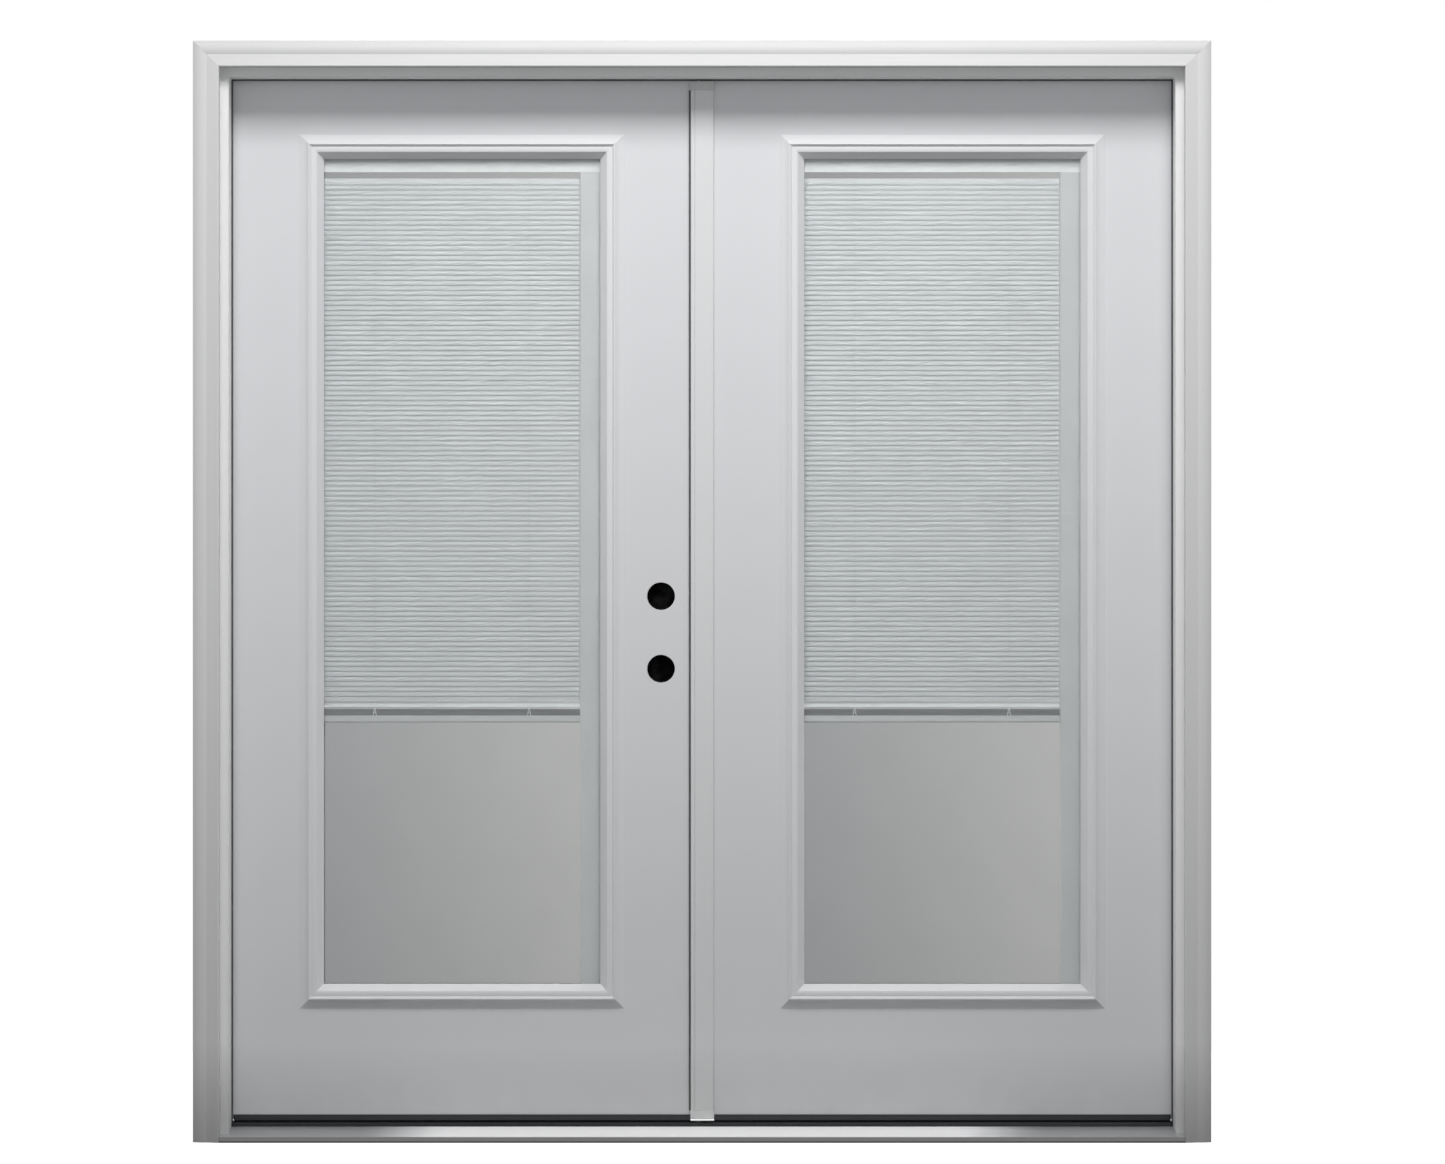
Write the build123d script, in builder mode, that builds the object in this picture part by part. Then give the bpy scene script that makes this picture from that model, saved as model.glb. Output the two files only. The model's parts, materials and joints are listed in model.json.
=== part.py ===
# Double patio door in its frame: two full-glass leaves that swing indoors, with blinds between their panes.
# X runs along the wall, Y from outdoors to indoors and Z up. Y is zero at the outdoor edge of the jambs.
# The left leaf (side -1) is the active one, the right leaf (side +1) the passive one with the astragal.
import os
from math import cos, radians, sin

from build123d import *

os.makedirs("parts", exist_ok=True)

# Every length is in millimetres. An overrun carries a cut past the face it opens.
overrun = 2.0

# Frame
frame_width = 1872.0
frame_height = 2066.0
jamb_depth = 116.0
jamb_thickness = 31.75
rabbet_step = 12.7
seal_room = 6.5
kerf_width = 3.0
kerf_depth = 9.0
kerf_inset = 4.0

# Brickmould, with its section as shares of its width and thickness, from the inner edge outwards
brickmould_width = 50.8
brickmould_thickness = 31.75
brickmould_reveal = 16.5
nosing_shares = ((0.0, 0.88), (0.015, 0.93), (0.05, 0.95))
quirk_shares = ((0.05, 0.95), (0.48, 0.7))
bead_shares = ((0.48, 0.7), (0.78, 0.665), (1.0, 0.45))

# Sill
nose_reach = 30.0
nose_height = 11.4
deck_back_height = 22.7
deck_thickness = 1.6
deck_setback = 5.5
cap_top = 31.0
cap_base = 19.0
cap_setback = 4.0
cap_bevel = 4.0

# Weatherstrips and corner pads
seal_gap = 0.3
seal_side_gap = 0.5
seal_proud = 3.0
pad_height = 49.0
barb_clearance = 0.1

# Leaves
leaf_thickness = 44.5
leaf_bottom = 37.0
hinge_gap = 3.2
head_gap = 3.2
meeting_gap = 19.0

# Lock bores of the active leaf
bore_radius = 27.0
bore_backset = 69.85
handle_bore_height = 901.7
bore_spacing = 139.7
edge_bore_radius = 12.7

# Glass lite: the slab's margins around the visible glass, then its frame's section as shares of the frame's
# width and rise, from the outer edge inwards
stile_margin = 186.625
top_rail_margin = 161.75
bottom_rail_margin = 259.0
lite_frame_width = 46.0
lite_frame_rise = 11.5
lite_cove_shares = ((0.0, 0.06), (0.2, 0.4), (0.37, 0.97))
lite_quirk_shares = ((0.37, 0.97), (0.41, 1.0), (0.5, 0.66))
lite_bead_shares = ((0.5, 0.66), (0.61, 0.68), (0.72, 0.6))
lite_lip_share = 0.18
glass_hidden = 14.0
cutout_room = 8.0
leg_clearance = 0.5
pane_thickness = 4.0
glass_cavity = 17.5
spacer_inset = 4.0
spacer_width = 8.0

# Blind between the panes
headrail_drop = 25.0
rail_depth = 15.0
rail_wall = 1.5
side_rail_width = 38.0
blind_end_gap = 1.0
blind_drop_share = 0.659
slat_width = 12.5
slat_thickness = 0.3
slat_crown = 0.8
slat_tilt = 80.0
slat_pitch = 9.65
stack_height = 13.5
bottom_rail_height = 13.5
bottom_rail_depth = 13.0
bottom_rail_round = 3.0
cord_inset = 98.0
cord_width = 1.0
cord_gap = 0.2
slider_width = 26.0
slider_height = 70.0
slider_depth = 11.0
slider_bevel = 3.0
slider_place_share = 0.6

# Bottom sweep
sweep_leg = 1.6
sweep_base = 1.8
sweep_rise = 8.7
sweep_end_gap = 0.8
fin_thickness = 1.4
fin_count = 3
fin_lift = 0.4

# Hinges
hinge_height = 101.6
hinge_plate_width = 38.0
hinge_plate_thickness = 2.5
hinge_top_drop = 178.0
hinge_bottom_rise = 280.0
end_knuckle_share = 0.25
knuckle_radius = 6.5
knuckle_gap = 0.4
knuckle_standoff = 8.0
knuckle_clearance = 0.7
pin_radius = 3.5
pin_clearance = 0.05
mortise_clearance = 0.2

# Astragal and its flush bolts
flange_width = 44.0
flange_thickness = 7.6
flange_round = 2.5
flange_gap = 0.4
flange_head_gap = 1.0
flange_groove_inset = 7.7
flange_groove_width = 1.2
flange_groove_depth = 1.0
stem_width = 15.0
stem_setback = 4.0
stem_end_gap = 1.5
boot_height = 17.0
boot_margin = 0.5
astragal_seal_width = 9.0
astragal_seal_depth = 3.0
astragal_seal_proud = 3.5
strike_pocket_height = 57.0
strike_pocket_width = 25.0
strike_pocket_depth = 9.0
bolt_radius = 4.0
bolt_clearance = 0.05
bolt_length = 300.0
bolt_throw = 15.0
bolt_hole_width = 11.0
bolt_hole_depth = 15.0
bolt_tab_height = 22.0
bolt_tab_width = 6.0
bolt_tab_share = 0.7

# Places that follow from the sizes
frame_half = frame_width / 2
clear_half = frame_half - jamb_thickness
rabbet_half = clear_half + rabbet_step
stop_depth = jamb_depth - leaf_thickness - seal_room
kerf_half = clear_half + kerf_inset
head_stop = frame_height - jamb_thickness
head_rabbet = head_stop + rabbet_step

mould_half = clear_half + brickmould_reveal
mould_head = head_stop + brickmould_reveal

deck_back = stop_depth + seal_room - deck_setback
cap_back = jamb_depth - cap_setback

leaf_face = stop_depth + seal_room
leaf_back = leaf_face + leaf_thickness
leaf_middle = leaf_face + leaf_thickness / 2
leaf_top = head_rabbet - head_gap
leaf_lock_edge = meeting_gap / 2
leaf_hinge_edge = rabbet_half - hinge_gap
leaf_centre = (leaf_lock_edge + leaf_hinge_edge) / 2
leaf_width = leaf_hinge_edge - leaf_lock_edge
leaf_height = leaf_top - leaf_bottom

sight_width = leaf_width - stile_margin * 2
sight_half = sight_width / 2
sight_bottom = leaf_bottom + bottom_rail_margin
sight_top = leaf_top - top_rail_margin
sight_height = sight_top - sight_bottom
sight_middle = (sight_bottom + sight_top) / 2
cutout_margin = glass_hidden + cutout_room
unit_thickness = pane_thickness * 2 + glass_cavity
glass_recess = (leaf_thickness - unit_thickness) / 2
unit_face = leaf_face + glass_recess
cavity_face = unit_face + pane_thickness
indoor_pane_face = cavity_face + glass_cavity
unit_back = indoor_pane_face + pane_thickness
spacer_reveal = glass_hidden - spacer_inset - spacer_width

headrail_base = sight_top - headrail_drop
blind_left = -sight_half - spacer_reveal + blind_end_gap
blind_right = sight_half - side_rail_width - blind_end_gap
bottom_rail_top = headrail_base - sight_height * blind_drop_share
stack_top = bottom_rail_top + stack_height
slat_reach = slat_width / 2 * sin(radians(slat_tilt)) + slat_crown
slat_swing = slat_width / 2 * cos(radians(slat_tilt)) + slat_crown
slat_count = int((headrail_base - stack_top - slat_reach * 2) / slat_pitch)
slat_first = headrail_base - slat_reach - slat_crown - (
    headrail_base - stack_top - slat_reach * 2 - slat_pitch * (slat_count - 1)
) / 2
cord_offset = slat_swing + cord_gap + cord_width / 2

pin_half = rabbet_half - hinge_gap / 2
pin_depth = jamb_depth + knuckle_standoff
plate_edge = pin_depth - knuckle_radius - knuckle_clearance
hinge_heights = {
    "lower": leaf_bottom + hinge_bottom_rise + hinge_height / 2,
    "middle": (leaf_bottom + hinge_bottom_rise + leaf_top - hinge_top_drop) / 2,
    "upper": leaf_top - hinge_top_drop - hinge_height / 2,
}
end_knuckle = hinge_height * end_knuckle_share

flange_back = leaf_face - flange_gap
flange_front = flange_back - flange_thickness
flange_half = flange_width / 2
flange_top = head_stop - seal_proud - flange_head_gap
stem_left = leaf_lock_edge - stem_width
stem_middle = (leaf_lock_edge + stem_left) / 2
stem_back = leaf_back - stem_setback
bolt_depth = (flange_back + stem_back) / 2
stem_base = leaf_bottom + stem_end_gap
stem_top = leaf_top - stem_end_gap
bore_heights = (handle_bore_height, handle_bore_height + bore_spacing)

leaf_names = {-1: "active", 1: "passive"}
jamb_names = {-1: "left", 1: "right"}


def save(piece, label):
    """Name one finished piece and write it as a STEP file."""
    piece.part.label = label
    export_step(piece.part, f"parts/{label}.step")


def wall_plane(depth):
    """A plane that faces outdoors, with its own X and Y along the wall and up."""
    return Plane(origin=(0, depth, 0), x_dir=(1, 0, 0), z_dir=(0, -1, 0))


def section_plane(place):
    """A plane across the wall's length, with its own X and Y indoors and up."""
    return Plane.YZ.offset(place)


def span(low, high):
    """Centre and length of the stretch between two places."""
    return (low + high) / 2, abs(high - low)


def plate_box(x_ends, y_ends, z_ends, mode=Mode.ADD):
    """A box between two places along each axis, in the open part."""
    (x, length), (y, depth), (z, height) = span(*x_ends), span(*y_ends), span(*z_ends)
    with Locations((x, y, z)):
        Box(length, depth, height, mode=mode)


def cut_mortises(side, half, inward):
    """Sink the three hinge mortises into an edge; they run out through the indoor face."""
    for height in hinge_heights.values():
        reach = hinge_height / 2 + mortise_clearance
        plate_box(
            (side * half, side * (half + inward * hinge_plate_thickness)),
            (plate_edge - hinge_plate_width - mortise_clearance, jamb_depth + overrun),
            (height - reach, height + reach),
            Mode.SUBTRACT,
        )


def cut_bolt_hole(low, high):
    """Square mortise that takes the end of a flush bolt."""
    half = bolt_hole_width / 2
    plate_box(
        (stem_middle - half, stem_middle + half),
        (bolt_depth - half, bolt_depth + half),
        (low, high),
        Mode.SUBTRACT,
    )


# Frame


def make_side_jamb(side):
    """Rabbeted side jamb with the weatherstrip's kerf and the hinge mortises."""
    with BuildPart() as jamb:
        with BuildSketch():
            with BuildLine():
                Polyline(
                    (side * frame_half, 0),
                    (side * clear_half, 0),
                    (side * clear_half, stop_depth),
                    (side * rabbet_half, stop_depth),
                    (side * rabbet_half, jamb_depth),
                    (side * frame_half, jamb_depth),
                    close=True,
                )
            make_face()
            with Locations((side * kerf_half, stop_depth - kerf_depth / 2)):
                Rectangle(kerf_width, kerf_depth, mode=Mode.SUBTRACT)
        extrude(amount=frame_height)
        cut_mortises(side, rabbet_half, 1)
    save(jamb, f"{jamb_names[side]}_jamb")


def make_head_jamb():
    """Head jamb housed between the side jambs, with its kerf and the top bolt's hole."""
    with BuildPart() as jamb:
        plate_box((-clear_half, clear_half), (0, stop_depth), (head_stop, frame_height))
        plate_box((-rabbet_half, rabbet_half), (stop_depth, jamb_depth), (head_rabbet, frame_height))
        plate_box(
            (-clear_half, clear_half),
            (stop_depth - kerf_depth, stop_depth),
            (head_stop + kerf_inset - kerf_width / 2, head_stop + kerf_inset + kerf_width / 2),
            Mode.SUBTRACT,
        )
        cut_bolt_hole(head_rabbet, head_rabbet + bolt_hole_depth)
    save(jamb, "head_jamb")


def brickmould_section(place):
    """Brickmould outline; place turns a distance from the inner edge and a height into sketch points."""

    def at(share):
        return place(share[0] * brickmould_width, share[1] * brickmould_thickness)

    with BuildLine() as outline:
        Line(place(0, 0), at(nosing_shares[0]))
        ThreePointArc(*[at(share) for share in nosing_shares])
        Polyline(*[at(share) for share in quirk_shares])
        ThreePointArc(*[at(share) for share in bead_shares])
        Polyline(at(bead_shares[-1]), place(brickmould_width, 0), place(0, 0))
    make_face(outline.edges())


def mitre_plane(side):
    """The mitre at one top corner, facing the head piece."""
    return Plane(origin=(side * mould_half, 0, mould_head), x_dir=(0, 1, 0), z_dir=(-side, 0, 1))


def make_brickmould_leg(side):
    """Side length of brickmould, mitred at the top."""
    with BuildPart() as leg:
        with BuildSketch():
            brickmould_section(lambda out, height: (side * (mould_half + out), -height))
        extrude(amount=mould_head + brickmould_width)
        split(bisect_by=mitre_plane(side), keep=Keep.BOTTOM)
    save(leg, f"{jamb_names[side]}_brickmould")


def make_brickmould_head():
    """Head length of brickmould, mitred at both ends."""
    with BuildPart() as head:
        with BuildSketch(section_plane(0)):
            brickmould_section(lambda out, height: (-height, mould_head + out))
        extrude(amount=mould_half + brickmould_width, both=True)
        for side in leaf_names:
            split(bisect_by=mitre_plane(side), keep=Keep.TOP)
    save(head, "head_brickmould")


def trim_sill_ends(half, depth):
    """Cut a sill piece's ends back to this half length, from the jambs' outdoor edge to this depth."""
    for side in leaf_names:
        plate_box(
            (side * half, side * (mould_half + overrun)),
            (0, depth),
            (-overrun, cap_top),
            Mode.SUBTRACT,
        )


def make_sill():
    """Bent deck, the substrate that fills it and the cap on top."""
    nose = -nose_reach
    inner_nose = nose + deck_thickness
    inner_drop = deck_thickness
    deck_half = mould_half - seal_gap
    rear_half = rabbet_half - seal_gap

    with BuildPart() as deck:
        with BuildSketch(section_plane(0)):
            with BuildLine():
                Polyline(
                    (nose, 0),
                    (nose, nose_height),
                    (deck_back, deck_back_height),
                    (deck_back, deck_back_height - inner_drop),
                    (inner_nose, nose_height - inner_drop),
                    (inner_nose, 0),
                    close=True,
                )
            make_face()
        extrude(amount=deck_half, both=True)
        trim_sill_ends(clear_half - seal_gap, jamb_depth)
    save(deck, "sill_deck")

    with BuildPart() as substrate:
        with BuildSketch(section_plane(0)):
            with BuildLine():
                Polyline(
                    (inner_nose, 0),
                    (inner_nose, nose_height - inner_drop),
                    (deck_back, deck_back_height - inner_drop),
                    (deck_back, cap_base),
                    (cap_back, cap_base),
                    (cap_back, 0),
                    close=True,
                )
            make_face()
        extrude(amount=deck_half, both=True)
        trim_sill_ends(clear_half - seal_gap, stop_depth + seal_gap)
        trim_sill_ends(rear_half, jamb_depth)
        cut_bolt_hole(cap_base - bolt_hole_depth, cap_base)
    save(substrate, "sill_substrate")

    cap_front = deck_back + seal_gap
    with BuildPart() as cap:
        with BuildSketch(section_plane(0)):
            with BuildLine():
                Polyline(
                    (cap_front, cap_base),
                    (cap_front, cap_top - cap_bevel / 2),
                    (cap_front + cap_bevel, cap_top),
                    (cap_back - cap_bevel, cap_top),
                    (cap_back, cap_top - cap_bevel),
                    (cap_back, cap_base),
                    close=True,
                )
            make_face()
        extrude(amount=rear_half, both=True)
        cut_bolt_hole(cap_base, cap_top)
    save(cap, "sill_cap")


def make_side_weatherstrip(side):
    """Foam strip against the stop and a little proud of its edge, with its barb in the kerf."""
    middle, width = span(clear_half - seal_proud, rabbet_half - seal_side_gap)
    depth = seal_room - seal_gap
    with BuildPart() as strip:
        with BuildSketch(Plane.XY.offset(cap_top + pad_height + seal_gap)):
            with Locations((side * middle, stop_depth + depth / 2)):
                Rectangle(width, depth)
            with Locations((side * kerf_half, stop_depth - kerf_depth / 2)):
                Rectangle(kerf_width - barb_clearance * 2, kerf_depth)
        extrude(amount=head_stop - seal_proud - seal_gap - cap_top - pad_height - seal_gap)
    save(strip, f"{jamb_names[side]}_weatherstrip")


def make_head_weatherstrip():
    """Foam strip against the head stop, over the ends of the side strips."""
    middle, height = span(head_stop - seal_proud, head_rabbet - seal_side_gap)
    depth = seal_room - seal_gap
    with BuildPart() as strip:
        with BuildSketch(section_plane(0)):
            with Locations((stop_depth + depth / 2, middle)):
                Rectangle(depth, height)
            with Locations((stop_depth - kerf_depth / 2, head_stop + kerf_inset)):
                Rectangle(kerf_depth, kerf_width - barb_clearance * 2)
        extrude(amount=rabbet_half - seal_side_gap, both=True)
        for side in leaf_names:
            plate_box(
                (side * clear_half, side * rabbet_half),
                (stop_depth - kerf_depth, stop_depth),
                (head_stop, head_rabbet),
                Mode.SUBTRACT,
            )
    save(strip, "head_weatherstrip")


def make_corner_pads():
    """Foam pads that close the sill's two corners below the weatherstrips."""
    with BuildPart() as pads:
        for side in leaf_names:
            plate_box(
                (side * (clear_half - seal_proud), side * (rabbet_half - seal_side_gap)),
                (stop_depth, leaf_face - seal_gap),
                (cap_top, cap_top + pad_height),
            )
    save(pads, "corner_pads")


# Hinges


def add_hinge_plate(side, half, inward, height):
    """Plate let into the face at this distance from the middle."""
    plate_box(
        (side * half, side * (half + inward * hinge_plate_thickness)),
        (plate_edge - hinge_plate_width, plate_edge),
        (height - hinge_height / 2, height + hinge_height / 2),
    )


def add_knuckle(side, half, inward, low, high):
    """Barrel on the pin's axis, with the tab that joins it to its plate."""
    plate_box(
        (side * half, side * (half + inward * hinge_plate_thickness)),
        (plate_edge, pin_depth),
        (low, high),
    )
    with Locations((side * pin_half, pin_depth, (low + high) / 2)):
        Cylinder(knuckle_radius, high - low)


def make_hinge(side, level):
    """One butt hinge: the jamb plate holds the end knuckles, the leaf plate the long middle one."""
    height = hinge_heights[level]
    low, high = height - hinge_height / 2, height + hinge_height / 2
    name = f"{leaf_names[side]}_{level}_hinge"
    with BuildPart() as jamb_plate:
        add_hinge_plate(side, rabbet_half, 1, height)
        add_knuckle(side, rabbet_half, 1, low, low + end_knuckle)
        add_knuckle(side, rabbet_half, 1, high - end_knuckle, high)
    save(jamb_plate, f"{name}_jamb_plate")

    with BuildPart() as leaf_plate:
        add_hinge_plate(side, leaf_hinge_edge, -1, height)
        inset = end_knuckle + knuckle_gap
        add_knuckle(side, leaf_hinge_edge, -1, low + inset, high - inset)
        with Locations((side * pin_half, pin_depth, height)):
            Cylinder(pin_radius + pin_clearance, hinge_height, mode=Mode.SUBTRACT)
    save(leaf_plate, f"{name}_leaf_plate")


def make_hinge_pins(side):
    """Fixed pins of one leaf's hinges, held between the end knuckles."""
    with BuildPart() as pins:
        with Locations(*[(side * pin_half, pin_depth, height) for height in hinge_heights.values()]):
            Cylinder(pin_radius, hinge_height - end_knuckle * 2)
    save(pins, f"{leaf_names[side]}_hinge_pins")


# Leaves


def slab_outline(side):
    """Leaf outline with the lite's cut-out and, on the active leaf, the lock bores."""
    with Locations((side * leaf_centre, (leaf_bottom + leaf_top) / 2)):
        Rectangle(leaf_width, leaf_height)
    with Locations((side * leaf_centre, sight_middle)):
        Rectangle(
            sight_width + cutout_margin * 2,
            sight_height + cutout_margin * 2,
            mode=Mode.SUBTRACT,
        )
    if side < 0:
        with Locations(*[(side * (leaf_lock_edge + bore_backset), height) for height in bore_heights]):
            Circle(bore_radius, mode=Mode.SUBTRACT)


def make_slab(side):
    """Bonded slab of one leaf, mortised for its hinges; the active one is bored for the lock."""
    with BuildPart() as slab:
        with BuildSketch(wall_plane(leaf_face)):
            slab_outline(side)
        extrude(amount=-leaf_thickness)
        cut_mortises(side, leaf_hinge_edge, -1)
        if side < 0:
            lock_edge = (side * leaf_lock_edge, leaf_middle, 0)
            edge = Plane(origin=lock_edge, x_dir=(0, 1, 0), z_dir=(-side, 0, 0))
            with BuildSketch(edge):
                with Locations(*[(0, height) for height in bore_heights]):
                    Circle(edge_bore_radius)
            extrude(amount=-bore_backset, mode=Mode.SUBTRACT)
    save(slab, f"{leaf_names[side]}_slab")


def lite_section():
    """Lite frame outline, from its outer edge towards the glass, with the leg that enters the cut-out."""

    def at(share):
        return share[0] * lite_frame_width, share[1] * lite_frame_rise

    lip = (lite_frame_width, lite_lip_share * lite_frame_rise - glass_recess)
    leg_inner = lite_frame_width - glass_hidden - leg_clearance
    leg_outer = lite_frame_width - cutout_margin + leg_clearance
    leg_end = leg_clearance / 2 - leaf_thickness / 2
    with BuildLine() as outline:
        Line((0, 0), at(lite_cove_shares[0]))
        ThreePointArc(*[at(share) for share in lite_cove_shares])
        Polyline(*[at(share) for share in lite_quirk_shares])
        ThreePointArc(*[at(share) for share in lite_bead_shares])
        Polyline(
            at(lite_bead_shares[-1]),
            lip,
            (lite_frame_width, -glass_recess),
            (leg_inner, -glass_recess),
            (leg_inner, leg_end),
            (leg_outer, leg_end),
            (leg_outer, 0),
            (0, 0),
        )
    make_face(outline.edges())


def add_lite_frame(side, depth, facing):
    """Moulded frame around the glass, swept along its outer edge; facing is -1 outdoors, +1 indoors."""
    half = sight_half + lite_frame_width
    low = sight_bottom - lite_frame_width
    high = sight_top + lite_frame_width
    left, right = side * leaf_centre - half, side * leaf_centre + half
    start = (side * leaf_centre, low)
    with BuildLine(wall_plane(depth)) as path:
        Polyline(start, (right, low), (right, high), (left, high), (left, low), start)
    origin = (side * leaf_centre, depth, low)
    with BuildSketch(Plane(origin=origin, x_dir=(0, 0, 1), z_dir=(-facing, 0, 0))) as section:
        lite_section()
    sweep(section.sketch, path=path.wires()[0], transition=Transition.RIGHT)


def make_lite(side):
    """Lite frames, the two panes and the spacer between them."""
    name = leaf_names[side]
    for label, depth, facing in (("lite_outer_frame", leaf_face, -1), ("lite_inner_frame", leaf_back, 1)):
        with BuildPart() as frame:
            add_lite_frame(side, depth, facing)
        save(frame, f"{name}_{label}")

    for label, depth in (("outer_pane", unit_face), ("inner_pane", indoor_pane_face)):
        with BuildPart() as pane:
            with BuildSketch(wall_plane(depth)):
                with Locations((side * leaf_centre, sight_middle)):
                    Rectangle(sight_width + glass_hidden * 2, sight_height + glass_hidden * 2)
            extrude(amount=-pane_thickness)
        save(pane, f"{name}_{label}")

    outer = glass_hidden - spacer_inset
    with BuildPart() as spacer:
        with BuildSketch(wall_plane(cavity_face)):
            with Locations((side * leaf_centre, sight_middle)):
                Rectangle(sight_width + outer * 2, sight_height + outer * 2)
                Rectangle(
                    sight_width + spacer_reveal * 2,
                    sight_height + spacer_reveal * 2,
                    mode=Mode.SUBTRACT,
                )
        extrude(amount=-glass_cavity)
    save(spacer, f"{name}_pane_spacer")


def make_blind(side):
    """Blind between the panes: rails, hanging and gathered slats, bottom rail, cords and slider."""
    name = leaf_names[side]
    centre = side * leaf_centre
    left, right = centre + blind_left, centre + blind_right
    rail_ends = (leaf_middle - rail_depth / 2, leaf_middle + rail_depth / 2)
    low_ends = (leaf_middle - bottom_rail_depth / 2, leaf_middle + bottom_rail_depth / 2)
    sight_ends = (centre - sight_half - spacer_reveal, centre + sight_half + spacer_reveal)

    with BuildPart() as headrail:
        plate_box(sight_ends, rail_ends, (headrail_base, sight_top + spacer_reveal))
        plate_box(
            sight_ends,
            (rail_ends[0] + rail_wall, rail_ends[1] - rail_wall),
            (headrail_base + rail_wall, sight_top + spacer_reveal - rail_wall),
            Mode.SUBTRACT,
        )
    save(headrail, f"{name}_blind_headrail")

    with BuildPart() as side_rail:
        plate_box(
            (centre + sight_half - side_rail_width, sight_ends[1]),
            rail_ends,
            (sight_bottom - spacer_reveal, headrail_base),
        )
        plate_box(
            (centre + sight_half - side_rail_width + rail_wall, sight_ends[1] - rail_wall),
            (rail_ends[0] + rail_wall, rail_ends[1] + overrun),
            (sight_bottom - spacer_reveal, headrail_base),
            Mode.SUBTRACT,
        )
    save(side_rail, f"{name}_blind_side_rail")

    with BuildSketch() as slat:
        with BuildLine():
            Polyline(
                (-slat_width / 2, 0),
                (0, slat_crown),
                (slat_width / 2, 0),
                (slat_width / 2, -slat_thickness),
                (0, slat_crown - slat_thickness),
                (-slat_width / 2, -slat_thickness),
                close=True,
            )
        make_face()
    places = [
        Location((leaf_middle, slat_first - slat_pitch * row, 0), (0, 0, slat_tilt))
        for row in range(slat_count)
    ]
    with BuildPart() as slats:
        with BuildSketch(section_plane(left)):
            with Locations(*places):
                add(slat.sketch)
        extrude(amount=right - left)
    save(slats, f"{name}_blind_slats")

    with BuildPart() as stack:
        plate_box((left, right), low_ends, (bottom_rail_top, stack_top))
    save(stack, f"{name}_blind_stack")

    with BuildPart() as bottom_rail:
        with BuildSketch(section_plane(left)):
            with Locations((leaf_middle, bottom_rail_top - bottom_rail_height / 2)):
                rail = Rectangle(bottom_rail_depth, bottom_rail_height)
            fillet(rail.vertices().group_by(Axis.Y)[0], bottom_rail_round)
        extrude(amount=right - left)
    save(bottom_rail, f"{name}_blind_bottom_rail")

    cord_spots = [
        (x, leaf_middle + hand * cord_offset)
        for x in (left + cord_inset, right - cord_inset)
        for hand in leaf_names
    ]
    with BuildPart() as cords:
        with BuildSketch(Plane.XY.offset(stack_top)):
            with Locations(*cord_spots):
                Rectangle(cord_width, cord_width)
        extrude(amount=headrail_base - stack_top)
    save(cords, f"{name}_blind_cords")

    slider_face = unit_back + seal_gap
    slider_height_up = sight_bottom + sight_height * slider_place_share
    with BuildPart() as slider:
        with BuildSketch(wall_plane(slider_face)):
            with Locations((centre + sight_half - side_rail_width / 2, slider_height_up)):
                Rectangle(slider_width, slider_height)
        extrude(amount=-slider_depth)
        chamfer(slider.faces().sort_by(Axis.Y)[-1].edges(), slider_bevel)
    save(slider, f"{name}_blind_slider")


def make_sweep(side):
    """Slip-on sweep under one leaf: a channel with fins that brush the cap."""
    outer, inner = leaf_face - sweep_leg, leaf_back + sweep_leg
    base = leaf_bottom - sweep_base
    low = flange_half + sweep_end_gap
    high = clear_half - seal_proud - sweep_end_gap
    fin_bottom = cap_top + fin_lift
    fin_step = leaf_thickness / (fin_count + 1)
    with BuildPart() as strip:
        with BuildSketch(section_plane(side * low)):
            with BuildLine():
                Polyline(
                    (outer, leaf_bottom + sweep_rise),
                    (leaf_face, leaf_bottom + sweep_rise),
                    (leaf_face, leaf_bottom),
                    (leaf_back, leaf_bottom),
                    (leaf_back, leaf_bottom + sweep_rise),
                    (inner, leaf_bottom + sweep_rise),
                    (inner, base),
                    (outer, base),
                    close=True,
                )
            make_face()
            for fin in range(fin_count):
                with Locations((leaf_face + fin_step * (fin + 1), (fin_bottom + base) / 2)):
                    Rectangle(fin_thickness, base - fin_bottom)
        extrude(amount=side * (high - low))
    save(strip, f"{leaf_names[side]}_sweep")


# Astragal


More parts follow.
